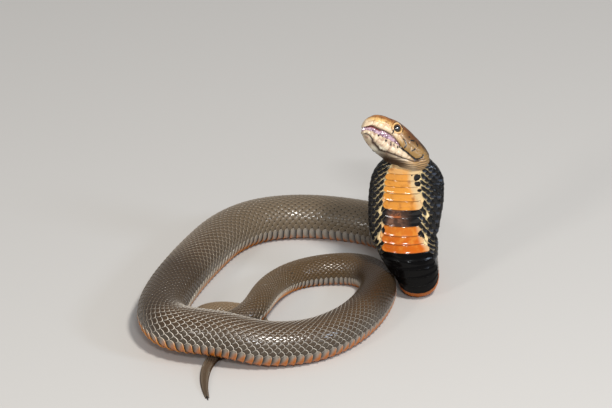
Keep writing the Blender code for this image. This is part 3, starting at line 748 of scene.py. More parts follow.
# Stretches of the body in another colour, in painted sheen or in painted shade: the distances over which each
# comes in, and those where it ends.
# Along the front coil the pale free edges of scales and plates are painted paler still, as a sheen of light
# on them.
EDGE_SHEEN_RUN = ((325.0, 350.0), (440.0, 475.0))
# The first bend, the lobe on the left, is painted in dark brown shade; the second bend is darker brown too.
SHADED_FIRST_BEND = ((262.0, 290.0), (335.0, 352.0))
SECOND_BEND = ((452.0, 472.0), (505.0, 520.0))
INNER_RUN = ((505.0, 530.0), (600.0, 625.0))
# The pale tan stretch of the tail behind the coil, painted paler still as a highlight on it.
TAN_SHEEN_RUN = ((628.0, 640.0), (690.0, 700.0))
TAIL_BLEND = (690.0, 730.0)
SCALE_ROUGHNESS = 0.28
scale_finish, shader, wire = finish(
    "olive scales", SCALE_ROUGHNESS, coat=0.3, specular=0.2, coat_roughness=0.1
)
up_flank, run, tint = wire.stored("rank"), wire.stored("distance"), wire.stored("tint")
mottle = wire.noise(500.0).between(0.3, 0.7)
base = up_flank.between(0.1, 0.7).mixed(OLIVE_GREY, OLIVE)
base = (tint * 0.45 + mottle * 0.25).mixed(base, OLIVE_DARK)
# Painted sky reflection: the body as far as the back coil is greyer, as the sky's sheen on it.
base = ((1 - run.between(205.0, 275.0)) * 0.8).mixed(base, BACK_SKY_SHEEN)
base = run.between(*TAIL_BLEND).mixed(base, TAIL_BROWN)
# Painted sheen: along the front coil, low on the flanks, the pale edges of the scales are painted brighter.
edge_sheen_run = run.within(*EDGE_SHEEN_RUN)
paler = edge_sheen_run * (1 - up_flank.between(0.5, 1.2)) + (1 - edge_sheen_run) * 0.1
edge = (paler * (1 - run.between(*TAIL_BLEND))).mixed(GREY_EDGE, PALE_SHEEN_EDGE)
base = wire.stored("rim").between(0.25, 0.75).mixed(base, edge)
# Darker brown over the two bends: painted shade over the first.
base = ((run.within(*SHADED_FIRST_BEND) + run.within(*SECOND_BEND)) * 0.7).mixed(base, BEND_BROWN)
base = (run.within(*INNER_RUN) * 0.6).mixed(base, INNER_TAN)
# The tail's pale tan stretch, lightened partly as a painted highlight.
base = (run.within(*TAN_SHEEN_RUN) * 0.45).mixed(base, TAIL_TAN_SHEEN)
along_scale = wire.node("ShaderNodeSeparateXYZ", {0: wire.stored("place", "Vector")})
across_scale = along_scale.also("Y")
# Painted shade on the front of each scale, where it comes out from under the tip of the scale before; half as
# strong along the back.
shaded_front = 1 - along_scale.between(-0.7, -0.3)
base = (shaded_front * (1 - up_flank.between(0.7, 1.0) * 0.5)).mixed(base, FRONT_SHADE)
# The front of the hood is black, with grey and cream rims, and a painted reflection of blue sky as a
# steel-grey sheen on its left side.
hood_front = (1 - run.between(HOOD_END + 2, HOOD_END + 16)) * (1 - up_flank.between(0.42, 0.55))
from_middle = along_scale * along_scale + across_scale * across_scale
near_plates = (1 - up_flank.between(0.14, 0.26)) * (0.3 + tint * 0.7) * (1 - run.between(50.0, 57.0))
on_left = wire.stored("slant").between(-0.0002, 0.0002)
toward_plates = (along_scale * 0.5 - across_scale * (on_left * 2 - 1)).between(-0.1, 0.35)
# Painted sky reflection on the rear halves of some scales of the hood's left side.
sky_sheen = on_left * tint.between(0.4, 1.0) * (along_scale - 0.1).between(0.0, 0.4)
black = sky_sheen.mixed(HOOD_BLACK, HOOD_SKY_SHEEN)
black = (from_middle.between(0.62, 0.95) * tint * 0.7).mixed(black, HOOD_RIM)
black = (from_middle.between(0.46, 0.7) * toward_plates * near_plates).mixed(black, HOOD_CREAM)
base = hood_front.mixed(base, black)
pale = wire.stored("orange").mixed(HOOD_CREAM, HOOD_ORANGE)
link(wire.stored("pale").mixed(base, pale), shader, "Base Color")
link(SCALE_ROUGHNESS - hood_front * 0.08, shader, "Roughness")
crowned = wire.noise(2400.0) * 0.2 - from_middle * (1 + hood_front * 0.9)
link(wire.node("ShaderNodeBump", {"Height": crowned, "Distance": 0.0003, "Strength": 0.8}), shader, "Normal")

scale_tree = wrapping_tree("scales on skin")
plain_scale = scale_shape()
for label, first, last in (("front_scales", 0.0, 375.0), ("rear_scales", 375.0, 1000.0)):
    roots = scale_roots(first, last)
    coat = wrapped_coat(label, scale_tree, roots, plain_scale, scale_finish, SCALE_RISE, skin)
    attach(coat, "root")

# THE BELLY PLATES
# Broad plates across the belly, each as long as one scale, whose free rear edges overlap the next. Their
# ends reach up the flanks between the lowest scales. They are grey above and orange towards the ground,
# and on the snake's right the grey reaches further down as painted shade.
PLATE_ACROSS = (0.0, 0.17, 0.34, 0.52, 0.7, 0.86, 0.95, 1.0)
# A plate from its front over its free rear edge and back under it: along it, and up from the skin.
PLATE_PROFILE = (
    (-1.0, -0.7),
    (-0.95, -0.05),
    (-0.6, 0.22),
    (0.3, 0.42),
    (0.78, 0.6),
    (0.96, 0.94),
    (1.05, 1.0),
    (1.1, 0.8),
    (1.06, -0.75),
)
PLATE_RISE = 0.8
# Where the ends of a plate start to round off, and how far round the girth a plate reaches.
PLATE_TIP = 0.86
PLATE_REACH = PLATE_SHARE + 0.8 * FLANK_SHARE / BODY_RANKS
# Distance from the nape, and how far the plates stand up there: they lie nearly flush under the throat.
PLATE_LIFTS = ((0, 0.35), (16, 0.45), (19, 0.9), (60, 0.9), (100, 1.0))


def plate_shape():
    """One belly plate, closed: front at -X, free rear edge at +X, and rounded ends at Y -1 and 1."""
    y = np.concatenate([-np.array(PLATE_ACROSS)[:0:-1], PLATE_ACROSS])
    tip = np.clip((np.abs(y) - PLATE_TIP) / (1 - PLATE_TIP), 0.0, 1.0)
    half = np.sqrt(np.clip(1 - 0.97 * tip**2, 0.0, 1.0))
    points, rim = [], []
    for x, z in PLATE_PROFILE:
        points.append(np.stack([x * half, y, z * (1 - 0.35 * tip)], axis=1))
        rim.append(np.where((x > 1) | ((z >= 0) & (tip > 0.8)), 1.0, 0.0))
    columns, rows = len(y), len(PLATE_PROFILE)
    faces = []
    for i in range(rows):
        after = (i + 1) % rows
        for k in range(columns - 1):
            faces.append((i * columns + k, after * columns + k, after * columns + k + 1, i * columns + k + 1))
    faces.append(tuple(i * columns for i in reversed(range(rows))))
    faces.append(tuple(i * columns + columns - 1 for i in range(rows)))
    return plain_shape("plate_shape", np.vstack(points), faces, np.concatenate(rim))


plate_roots = []
for s, long in zip(*plate_places()):
    half_long = long / 2 * UNWRAP_REACH / LENGTH
    sizes = (half_long, PLATE_REACH, s, 0.0, 0.0, 0.0, 0.0, read_off(PLATE_LIFTS, s))
    plate_roots.append((unwrapped(s, LENGTH), 0.0, *sizes))

PLATE_GREY = linear((138, 128, 116))
PLATE_ORANGE = linear((180, 98, 16))
EDGE_ORANGE = linear((204, 140, 74))
PLATE_SHADOW = linear((42, 42, 46))
PLATE_CREAM = linear((196, 184, 166))
RIM_ORANGE = linear((170, 88, 12))
THROAT_CREAM = linear((196, 168, 124))
THROAT_YELLOW = linear((202, 134, 50))
THROAT_ORANGE = linear((180, 86, 10))
THROAT_BROWN = linear((132, 76, 34))
BAND_BLACK = linear((4, 3, 3))
BAND_BROWN = linear((110, 76, 58))
# Dark spots at the side of the throat: share across, distance from the nape, and the half sizes of each.
THROAT_SPOTS = (
    (0.9, 13.0, 0.2, 2.2),
    (0.92, 16.8, 0.19, 1.3),
    (0.93, 20.4, 0.09, 0.8),
    (1.0, 44.6, 0.2, 2.0),
    (-1.0, 43.0, 0.14, 2.2),
    (0.55, 11.6, 0.05, 0.5),
)
PLATE_COAT = 0.8
plate_finish, shader, wire = finish("belly plates", 0.3, coat=PLATE_COAT, specular=0.05, coat_roughness=0.1)
back = wire.node("ShaderNodeSeparateXYZ", {0: wire.stored("place", "Vector")})
across = back.also("Y")
reach = wire.maths("ABSOLUTE", across)
cloud = wire.noise(320.0)
from_nape = wire.stored("distance")
# The plates of the body: orange towards the ground, grey above, painted shadow at the front under the edge of
# the plate before, and a paler rear rim, painted brighter along the front coil as sheen.
# On the snake's right the grey reaches further down, as painted shade.
grey_part = reach - back * 0.2 + cloud * 0.16 + (1 - across.between(-0.4, 0.4)) * 0.18
grey_part = grey_part.between(0.56, 0.92)
body_colour = grey_part.mixed(PLATE_ORANGE, PLATE_GREY)
# Painted shadow on the front of each plate, under the free edge of the plate before.
body_colour = ((0.5 + grey_part * 0.5) * (1 - back.between(-0.95, 0.45))).mixed(body_colour, PLATE_SHADOW)
# The pale rear rims of the plates are painted brighter along the front coil, as sheen.
pale_rim_and_sheen = 0.3 + 0.5 * from_nape.within(*EDGE_SHEEN_RUN)
rim_colour = grey_part.mixed(EDGE_ORANGE, PLATE_CREAM)
body_colour = (wire.stored("rim").between(0.3, 0.9) * pale_rim_and_sheen).mixed(body_colour, rim_colour)
body_colour = from_nape.between(*TAIL_BLEND).mixed(body_colour, TAIL_BROWN)
exact = from_nape + back * wire.stored("long") * (LENGTH / UNWRAP_REACH)
# The throat: cream to orange from the head down, with dark spots at its sides and two black bands across.
throat = from_nape.between(2.0, 14.0).mixed(THROAT_CREAM, THROAT_YELLOW)
throat = from_nape.between(24.0, 50.0).mixed(throat, THROAT_ORANGE)
throat = (cloud.between(0.45, 0.75) * 0.5).mixed(throat, THROAT_YELLOW)
above_band = 1 - from_nape.between(26.0, 34.0)
throat = ((across - exact * 0.02 + cloud * 0.3).between(0.1, 0.5) * above_band).mixed(throat, THROAT_CREAM)
throat = (across.between(0.7, 0.95) * from_nape.between(38.0, 40.0) * 0.7).mixed(throat, THROAT_CREAM)
spots = None
for spot_across, spot_along, half_across, half_along in THROAT_SPOTS:
    aside = (across - spot_across) / half_across
    along_it = (exact - spot_along) / half_along
    away = aside * aside + along_it * along_it + wire.noise(900.0) * 1.2 - 0.6
    spot = 1 - away.between(0.75, 1.2)
    spots = wire.maths("MAXIMUM", spots, spot) if spots else spot
smudge = wire.noise(230.0).between(0.5, 0.72) * above_band * 0.7
throat = smudge.mixed(throat, THROAT_BROWN)
throat = (back.between(0.86, 1.04) * 0.5).mixed(throat, THROAT_BROWN)
band = from_nape.within((30.5, 31.0), (38.8, 39.2)) + from_nape.between(54.6, 55.0)
patch = across.near(-0.3, 0.1, 0.35) * (1 - from_nape.between(33.0, 36.0))
brown_part = across.between(-0.95, -0.6) * (1 - (across + cloud * 0.6).between(0.0, 0.95))
brown_part = brown_part * (0.35 + 0.65 * cloud.between(0.42, 0.58)) * (1 - from_nape.between(40.0, 50.0))
black = brown_part.mixed(BAND_BLACK, BAND_BROWN)
black = (patch * back.between(-0.4, 0.3) * cloud.between(0.4, 0.6) * 0.5).mixed(black, THROAT_ORANGE)
throat = spots.mixed(throat, BAND_BLACK)
throat = band.mixed(throat, black)
throat = from_nape.between(71.4, 71.8).mixed(throat, RIM_ORANGE)
on_body = from_nape.between(80.0, 92.0)
link(on_body.mixed(throat, body_colour), shader, "Base Color")
link(PLATE_COAT - from_nape.between(50.0, 57.0) * 0.6 + on_body * 0.3, shader, "Coat Weight")
plain_plate = plate_shape()
plates = wrapped_coat("belly_plates", scale_tree, plate_roots, plain_plate, plate_finish, PLATE_RISE, skin)
bpy.data.objects.remove(plain_plate)
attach(plates, "root")

# THE HEAD
# A long head of smooth horny shields over bone: rostral, labials along both lips, shields over the crown
# and round the eye, with the small scales of the nape behind. The mouth is a little open on its left side.
# The head's own frame, in which its places are forward, up and left of the origin.
HEAD_ORIGIN = np.array([53.4, -98.0, 80.0])
HEAD_FORWARD = np.array([-0.862, -0.024, 0.506])
HEAD_UP = np.array([0.381, 0.626, 0.680])
# Upper head: forward, half width, crown, widest level, upper lip.
UPPER_HEAD = (
    (-7.6, 8.4, 5.6, 2.6, 0.6),
    (-4.6, 10.0, 8.2, 2.6, 1.2),
    (-2.0, 10.3, 9.2, 1.6, -1.2),
    (1.0, 10.4, 10.6, 1.8, -0.9),
    (4.0, 10.3, 11.8, 2.6, -0.2),
    (7.0, 10.0, 12.8, 3.8, 0.5),
    (9.5, 9.6, 13.4, 5.0, 2.2),
    (12.0, 9.2, 13.9, 6.2, 3.8),
    (15.0, 8.7, 14.1, 7.2, 5.1),
    (18.0, 8.1, 13.7, 7.6, 5.4),
    (20.8, 7.4, 13.6, 7.7, 5.3),
    (23.4, 6.7, 13.1, 7.7, 5.3),
    (25.6, 5.8, 12.2, 7.6, 5.7),
    (27.3, 4.6, 10.8, 7.0, 4.6),
    (28.6, 3.2, 8.8, 6.2, 3.3),
    (29.4, 1.5, 7.4, 5.4, 2.9),
)
# Lower jaw: forward, half width, lower lip, underside.
LOWER_JAW = (
    (-4.3, 9.6, 0.2, -6.6),
    (-2.0, 9.8, -1.6, -6.9),
    (1.0, 9.8, -1.3, -6.9),
    (4.0, 9.6, -0.6, -6.8),
    (7.0, 9.2, 0.1, -6.6),
    (9.5, 8.8, 1.1, -6.4),
    (12.0, 8.3, 1.4, -6.0),
    (15.0, 7.7, 1.9, -5.5),
    (18.0, 7.0, 1.7, -4.8),
    (20.8, 6.3, 1.9, -3.9),
    (23.4, 5.4, 2.4, -2.8),
    (25.6, 4.3, 2.3, -1.5),
    (27.2, 3.0, 2.0, -0.3),
    (28.2, 1.6, 1.6, 0.4),
)
# The back of the head, closing over the nape: forward, half width, crown, underside.
OCCIPUT = (
    (-10.2, 4.6, 3.8, -2.0),
    (-9.4, 7.0, 5.4, -3.8),
    (-8.0, 8.8, 6.8, -5.2),
    (-6.2, 9.7, 7.7, -6.2),
    (-4.4, 10.1, 8.3, -6.7),
    (-1.0, 10.2, 9.5, -6.9),
)
# How square the crown and the jaw are, how far cheek and lips are tucked in, and the jaw's share of labials.
CRANIUM_POWER = 0.85
JAW_POWER = 0.8
CHEEK_TUCK = 0.99
LIP_TUCK = 0.93
LABIAL_SHARE = 0.38
# Points over the crown or under the chin, across the roof or the floor of the mouth, and round a closed ring.
ARCH_COLUMNS = 49
MOUTH_COLUMNS = 16
ROUND_COLUMNS = 65
# Rings of the neck that the head joins, the grain of its one skin, and the rounds of smoothing.
NECK_STUB = 12
HEAD_VOXEL = 0.32
HEAD_SMOOTHING = 4
NAPE_SMOOTHING = 70
# A distance beyond any on the head.
FAR = 99.0


def head_axes():
    front = unit(HEAD_FORWARD)
    top = unit(HEAD_UP - front * (front @ HEAD_UP))
    return np.array([front, top, np.cross(top, front)])


def head_place(forward, up, left):
    """World point, in millimetres, of a place given in the head's own frame."""
    places = np.stack(np.broadcast_arrays(forward, up, left), axis=-1)
    return places @ head_axes() + HEAD_ORIGIN


def in_head(points):
    """Forward, up and left of world points given in millimetres."""
    return (points - HEAD_ORIGIN) @ head_axes().T


def fine_stations(table, step=0.5, rounds=3):
    """The rows of a table of sections, read an even step apart and smoothed, with both ends kept."""
    rows = np.array(table, float)
    rows = rows[np.argsort(rows[:, 0])]
    wanted = np.linspace(rows[0, 0], rows[-1, 0], int((rows[-1, 0] - rows[0, 0]) / step) + 1)
    fine = np.column_stack([np.interp(wanted, rows[:, 0], column) for column in rows.T])
    for _ in range(rounds):
        fine[1:-1] = (fine[:-2] + 2 * fine[1:-1] + fine[2:]) / 4
    return fine


def upper_head_ring(row):
    """One section of the upper head: from the left lip over the crown to the right lip, and the palate."""
    forward, half_width, crown, widest, lip = row
    arc = np.linspace(0.0, np.pi, ARCH_COLUMNS)
    lip_left = half_width * LIP_TUCK
    cheek_left = half_width * CHEEK_TUCK
    cheek = (widest + lip) / 2
    palate = np.linspace(-lip_left, lip_left, MOUTH_COLUMNS)[1:-1]
    dome = half_width * squared(np.cos(arc), CRANIUM_POWER)
    left = np.concatenate([[lip_left, cheek_left], dome, [-cheek_left, -lip_left], palate])
    over = widest + (crown - widest) * np.sin(arc) ** CRANIUM_POWER
    up = np.concatenate([[lip, cheek], over, [cheek, lip], np.full(len(palate), lip)])
    return head_place(forward, up, left)


def lower_jaw_ring(row):
    """One section of the lower jaw: from the right lip under the chin to the left lip, and the floor."""
    forward, half_width, lip, underside = row
    arc = np.linspace(0.0, np.pi, ARCH_COLUMNS)
    labial = lip - (lip - underside) * LABIAL_SHARE
    lip_left = half_width * LIP_TUCK
    floor = np.linspace(lip_left, -lip_left, MOUTH_COLUMNS)[1:-1]
    left = np.concatenate([[-lip_left], -half_width * squared(np.cos(arc), JAW_POWER), [lip_left], floor])
    under = labial - (labial - underside) * np.sin(arc) ** JAW_POWER
    up = np.concatenate([[lip], under, [lip], np.full(len(floor), lip)])
    return head_place(forward, up, left)


def occiput_grid(rows):
    """Rings of the back of the head, each from the ventral line round by the left."""
    arc = np.linspace(0.0, 2 * np.pi, ROUND_COLUMNS)
    rings_made = []
    for forward, half_width, crown, underside in rows:
        middle, tall = (crown + underside) / 2, (crown - underside) / 2
        rings_made.append(head_place(forward, middle - tall * np.cos(arc), half_width * np.sin(arc)))
    return np.array(rings_made)


def closed(grid):
    """A grid of rings with each ring's first point repeated at its end."""
    return np.concatenate([grid, grid[:, :1]], axis=1)


def shares(count):
    return np.linspace(0.0, 1.0, count)


def joined(name, grids, voxel):
    """One skin round several closed lofts that run into each other."""
    parts = []
    for grid in grids:
        parts.append(tube(name, grid, shares(grid.shape[0]), shares(grid.shape[1])))
    whole = parts[0]
    with bpy.context.temp_override(active_object=whole, selected_editable_objects=parts):
        bpy.ops.object.join()
    remesh = whole.modifiers.new("one skin", "REMESH")
    remesh.mode = "VOXEL"
    remesh.voxel_size = voxel * MM
    bpy.context.view_layer.update()
    mesh = bpy.data.meshes.new_from_object(whole.evaluated_get(bpy.context.evaluated_depsgraph_get()))
    whole.modifiers.clear()
    whole.data = mesh
    return whole


def points_of(piece):
    """A piece's points in the route's millimetres."""
    values = np.zeros(len(piece.data.vertices) * 3, np.float32)
    piece.data.vertices.foreach_get("co", values)
    return values.reshape(-1, 3).astype(float) / MM + MIDDLE


def move_points(piece, points):
    values = ((points - MIDDLE) * MM).astype(np.float32)
    piece.data.vertices.foreach_set("co", values.ravel())
    piece.data.update()


def relaxed(piece, points, weight, rounds):
    """Points drawn towards the mean of their neighbours, each by its own weight."""
    ends = np.zeros(len(piece.data.edges) * 2, np.int32)
    piece.data.edges.foreach_get("vertices", ends)
    one, two = ends.reshape(-1, 2).T
    near = np.bincount(one, minlength=len(points)) + np.bincount(two, minlength=len(points))
    for _ in range(rounds):
        total = np.zeros_like(points)
        for axis in range(3):
            total[:, axis] = np.bincount(one, points[two, axis], len(points))
            total[:, axis] += np.bincount(two, points[one, axis], len(points))
        points = points + weight[:, None] * (total / near[:, None] - points)
    return points


def span(values, low, high):
    """Rises smoothly from 0 at the low value to 1 at the high one."""
    t = np.clip((values - low) / (high - low), 0.0, 1.0)
    return t * t * (3 - 2 * t)


def bump(values, width):
    return np.exp(-((values / width) ** 2))


def line_distance(across, up, line):
    """Distance from each place to a line through the given points, on the flat of a side or the crown."""
    best = np.full(len(across), FAR)
    line = np.array(line, float)
    for a, b in zip(line, line[1:]):
        edge = b - a
        t = np.clip(((across - a[0]) * edge[0] + (up - a[1]) * edge[1]) / max(edge @ edge, 1e-9), 0.0, 1.0)
        best = np.minimum(best, np.hypot(across - a[0] - t * edge[0], up - a[1] - t * edge[1]))
    return best


head_rings = [
    closed(np.array([upper_head_ring(row) for row in fine_stations(UPPER_HEAD)])),
    closed(np.array([lower_jaw_ring(row) for row in fine_stations(LOWER_JAW)])),
    occiput_grid(fine_stations(OCCIPUT)),
    skin_grid(rings[:NECK_STUB], np.interp(distance[:NECK_STUB], (2.0, 7.0), (0.1, 1.1))[:, None]),
]
head = joined("head_skin", head_rings, HEAD_VOXEL)

# The line of the closed mouth from the corner of the gape back, as forward and up.
MOUTH_LINE = ((8.7, 0.5), (5.0, -0.4), (0.9, -1.4), (-1.5, -1.8), (-3.0, -0.9), (-4.4, 0.6), (-4.2, 2.2))
places = points_of(head)
forward, up = in_head(places).T[:2]
places = relaxed(head, places, np.full(len(places), 0.5), HEAD_SMOOTHING)
behind = 1 - span(forward, -6.0, 0.0)
throat = (1 - span(up, -6.5, -3.5)) * (1 - span(forward, 6.0, 14.0))
places = relaxed(head, places, 0.5 * np.maximum(behind, throat), NAPE_SMOOTHING)
move_points(head, places)

EYE_PLACE = (13.8, 9.0, 7.35)
EYE_RADIUS = 2.05
EYE_OPENING = 1.95
SOCKET_DEPTH = 1.3
# Distance from the eye's middle to the middle of the rim of scales round it.
EYE_RING = 2.55
NOSTRIL_PLACE = (25.6, 9.3)
# The seams between the shields, on the side as forward and up, on the crown as forward and out.
UPPER_LABIAL_SEAMS = (26.0, 23.4, 20.4, 16.2, 11.6, 7.2, 3.2)
LOWER_LABIAL_SEAMS = (25.6, 23.4, 21.1, 18.9, 16.6, 13.8, 9.9, 6.4, 3.0)
LABIAL_TOP = ((28.4, 6.6), (26.0, 7.9), (23.4, 8.2), (20.4, 8.3), (16.4, 6.8), (13.8, 6.2), (11.2, 6.3),
              (7.2, 4.8), (3.2, 3.4), (-1.0, 2.6))
SIDE_SEAMS = (
    ((26.0, 7.9), (26.4, 10.6)),
    ((23.0, 8.2), (23.4, 11.6)),
    ((17.8, 7.4), (17.4, 10.4), (18.2, 12.4)),
    ((10.4, 6.4), (10.0, 9.0), (11.0, 11.6)),
    ((10.0, 9.0), (5.6, 8.4), (1.0, 8.0), (-3.0, 6.6)),
    ((6.0, 8.4), (5.4, 4.4)),
    ((1.2, 8.0), (0.6, 3.0)),
)
CROWN_SEAMS = (
    ((28.2, 0.0), (19.6, 0.0)),
    ((27.4, 0.0), (27.0, 3.4)),
    ((24.2, 0.0), (23.8, 2.6), (24.2, 5.4)),
    ((19.6, 0.0), (19.0, 2.7), (18.4, 5.2), (19.4, 7.2)),
    ((19.0, 2.7), (15.0, 2.3), (12.2, 1.9), (10.6, 0.0)),
    ((12.2, 1.9), (11.4, 4.4), (11.0, 7.4)),
    ((10.6, 0.0), (0.4, 0.0)),
    ((11.0, 7.4), (6.4, 7.0), (2.4, 5.0), (0.2, 1.8), (0.4, 0.0)),
)
# Black marks on the near side of the face, as forward and up: each a line and its half width.
INK_MARKS = (
    (((9.0, 4.9), (7.6, 4.2), (6.3, 2.8), (6.4, 1.0)), 0.28),
    (((4.9, 6.1), (3.3, 6.6)), 0.42),
    (((6.5, 7.3), (6.0, 7.5)), 0.3),
    (((1.4, 6.4), (0.2, 4.9)), 0.3),
    (((2.2, 1.2), (1.1, 2.9)), 0.3),
    (((15.4, 6.9), (15.1, 5.6)), 0.34),
    (((21.1, 1.8), (21.0, 1.3)), 0.42),
    (((16.6, 0.9), (16.5, 0.4)), 0.42),
    (((13.8, 0.7), (13.4, -0.7)), 0.26),
    (((12.1, 0.6), (11.8, -0.2)), 0.28),
    (((9.9, 0.2), (9.6, -0.3)), 0.34),
    (((16.2, 11.2), (14.6, 11.9), (12.4, 11.4), (11.0, 9.8), (10.9, 8.2)), 0.22),
)
CHIN_FOLD = ((27.0, 0.2), (25.0, -0.4), (22.0, -2.6), (16.8, -4.6), (11.2, -4.6), (5.2, -4.4), (0.2, -3.4),
             (-4.0, -1.6))

forward, up, left = in_head(places).T
side = np.abs(left)
facing = normals_of(head) @ head_axes().T
side_facing = span(np.abs(facing[:, 2]), 0.35, 0.65)
crown_facing = span(facing[:, 1], 0.3, 0.6) * span(up, 5.0, 8.0)
lip = read_off(np.array(UPPER_HEAD)[:, [0, 4]], forward)
lower_lip = read_off(np.array(LOWER_JAW)[:, [0, 2]], forward)
labial_top = read_off(LABIAL_TOP[::-1], forward)
fold_height = read_off(CHIN_FOLD[::-1], forward)
mouth = line_distance(forward, up, MOUTH_LINE)
upper_side = (up > (lip + lower_lip) / 2) & (mouth > 0.1)
on_side = np.abs(facing[:, 2]) > 0.3
beside_mouth = on_side & (forward > 1.0)
on_crown = (facing[:, 1] > 0.35) & (up > 6.0)

upper_labials = [((f, -9.0), (f + 0.3, read_off(LABIAL_TOP[::-1], f))) for f in UPPER_LABIAL_SEAMS]
lower_labials = [((f, 9.0), (f - 0.3, read_off(CHIN_FOLD[::-1], f))) for f in LOWER_LABIAL_SEAMS]
seam = np.full(len(places), FAR)
for seams, height, there in (
    (SIDE_SEAMS + (LABIAL_TOP,), up, on_side & upper_side),
    (upper_labials, up, beside_mouth & upper_side),
    (lower_labials, up, beside_mouth & ~upper_side & (up > fold_height - 0.2)),
    (CROWN_SEAMS, side, on_crown),
):
    for line in seams:
        seam = np.where(there, np.minimum(seam, line_distance(forward, height, line)), seam)
fold = np.where(~upper_side, line_distance(forward, up, CHIN_FOLD), FAR)
eye_out = np.hypot(forward - EYE_PLACE[0], up - EYE_PLACE[1])
near_eye = side > 5.0
ink = np.full(len(places), FAR)
for line, half in INK_MARKS:
    ink = np.minimum(ink, np.where(side > 4.0, line_distance(forward, up, line) - half, FAR))
ink = np.minimum(ink, np.where(side > 6.0, mouth - 0.42 * (forward < 9.5), FAR))

# Shields bulge a little between their seams; the seams, the fold under the lip and the closed mouth sink.
closed_mouth = np.where(side > 6.0, bump(mouth, 0.35), 0.0)
rise = -0.16 * bump(seam, 0.3) - 0.7 * bump(fold, 0.9) * side_facing - 0.4 * closed_mouth
lower_labial = beside_mouth & ~upper_side & (up > fold_height)
rise = rise + np.where(lower_labial, 0.28 * span(seam, 0.1, 1.1), 0.0)
rise = rise + np.where(upper_side & on_side & (up < labial_top), 0.14 * span(seam, 0.1, 1.3), 0.0)
brow = 0.35 * bump(eye_out - 3.1, 0.9) * span(up, 9.5, 11.5)
rise = rise + near_eye * (0.42 * bump(eye_out - EYE_RING, 0.5) + brow)
out_of_socket = span(eye_out, EYE_OPENING - 0.35, EYE_OPENING + 0.25)
sunk = rise * out_of_socket - SOCKET_DEPTH * (1 - out_of_socket)
rise = np.where(near_eye & (eye_out < EYE_OPENING + 0.3), sunk, rise)
nostril = np.hypot(forward - NOSTRIL_PLACE[0], up - NOSTRIL_PLACE[1])
rise = rise - np.where(side > 3.0, 0.5 * bump(nostril, 0.5), 0.0)
outwards = normals_of(head)
# The loose skin of the throat and behind the head lies in shallow creases across it.
pleated = np.maximum(throat, behind * (1 - span(up, 4.0, 7.0)))
creases = pleated * np.sin(places[:, 2] * 2 * np.pi / 1.5 + 0.8 * np.sin(places[:, 0] * 0.6))
rise = rise + 0.2 * creases
move_points(head, places + outwards * rise[:, None])
marks = {"fore": forward, "high": up, "seam": seam, "fold": fold, "ink": ink, "crease": creases}
marks |= {"crown": crown_facing, "lower": ~upper_side, "eye_out": np.where(near_eye, eye_out, FAR)}
for label, values in marks.items():
    keep(head.data, label, values)
head.data.shade_smooth()

CROWN_TAN = linear((178, 118, 60))
CROWN_BROWN = linear((112, 60, 20))
NAPE_BROWN = linear((62, 39, 17))
SIDE_CREAM = linear((208, 168, 106))
CHEEK_TAN = linear((92, 61, 29))
CHEEK_CREAM = linear((136, 104, 58))
RING_TAN = linear((204, 162, 104))
LABIAL_CREAM = linear((208, 184, 152))
JAW_CREAM = linear((200, 180, 152))
JAW_PINK = linear((142, 100, 86))
THROAT_TAN = linear((156, 122, 80))
CHIN_SHADE = linear((54, 33, 15))
CHIN_LIT_CREAM = linear((244, 236, 212))
FOLD_SHADE = linear((50, 30, 17))
SEAM_BROWN = linear((112, 74, 38))
INK = linear((22, 14, 10))
head_finish, shader, wire = finish("head shields", 0.34)
cloud = wire.noise(1300.0)
blotch = wire.noise(380.0)
fore, high, crown = wire.stored("fore"), wire.stored("high"), wire.stored("crown")
cheek = (high + blotch * 3.0).between(4.5, 8.5).mixed(CHEEK_CREAM, CHEEK_TAN)
colour = (1 - fore.between(6.0, 17.0)).mixed(SIDE_CREAM, cheek)
# The crown, tan with brown blotches and darker towards the nape.
tan = blotch.between(0.42, 0.6).mixed(CROWN_TAN, CROWN_BROWN)
tan = (1 - fore.between(3.0, 17.0)).mixed(tan, NAPE_BROWN)
tan = (crown.between(0.6, 1.0) * 0.3).mixed(tan, CROWN_BROWN)
colour = (crown * 0.95).mixed(colour, tan)
flecks = cloud.between(0.52, 0.62) * (1 - fore.between(20.0, 25.0)) * high.between(4.0, 8.0) * 0.7
colour = flecks.mixed(colour, CROWN_BROWN)
labial = (1 - (high - 6.4).between(0.0, 2.4)) * fore.between(9.0, 14.0)
colour = labial.mixed(colour, LABIAL_CREAM)
lore = fore.within((14.5, 16.5), (19.0, 22.5)) * high.between(7.2, 9.0)
colour = (lore * (0.25 + blotch.between(0.4, 0.6) * 0.5)).mixed(colour, CROWN_BROWN)
# The lower jaw: cream and pink lips, a pale chin painted brighter as if lit, and painted dark brown shade
# under the jaw and in the creases of the throat.
jaw = (blotch.between(0.48, 0.62) * fore.between(4.0, 12.0) * 0.6).mixed(JAW_CREAM, JAW_PINK)
under = 1 - high.between(-6.4, -4.0)
# Painted light: the front of the chin is painted brighter cream, as if lit.
jaw = (fore.between(13.0, 18.0) * (1 - (high + fore * 0.1).between(-2.6, -0.8))).mixed(jaw, CHIN_LIT_CREAM)
# Painted shade under the jaw.
jaw = (under * fore.between(-3.0, 3.0) * (1 - fore.between(15.0, 20.0))).mixed(jaw, CHIN_SHADE)
jaw = ((1 - fore.between(-2.0, 6.0)) * (1 - under * 0.5)).mixed(jaw, THROAT_TAN)
# Painted shade in the troughs of the throat's creases.
jaw = (wire.stored("crease").between(-0.1, -0.9) * 0.8).mixed(jaw, CHIN_SHADE)
colour = wire.stored("lower").mixed(colour, jaw)
in_seam = 1 - wire.stored("seam").between(0.04, 0.24)
colour = (in_seam * (0.3 + blotch.between(0.4, 0.6) * 0.5)).mixed(colour, SEAM_BROWN)
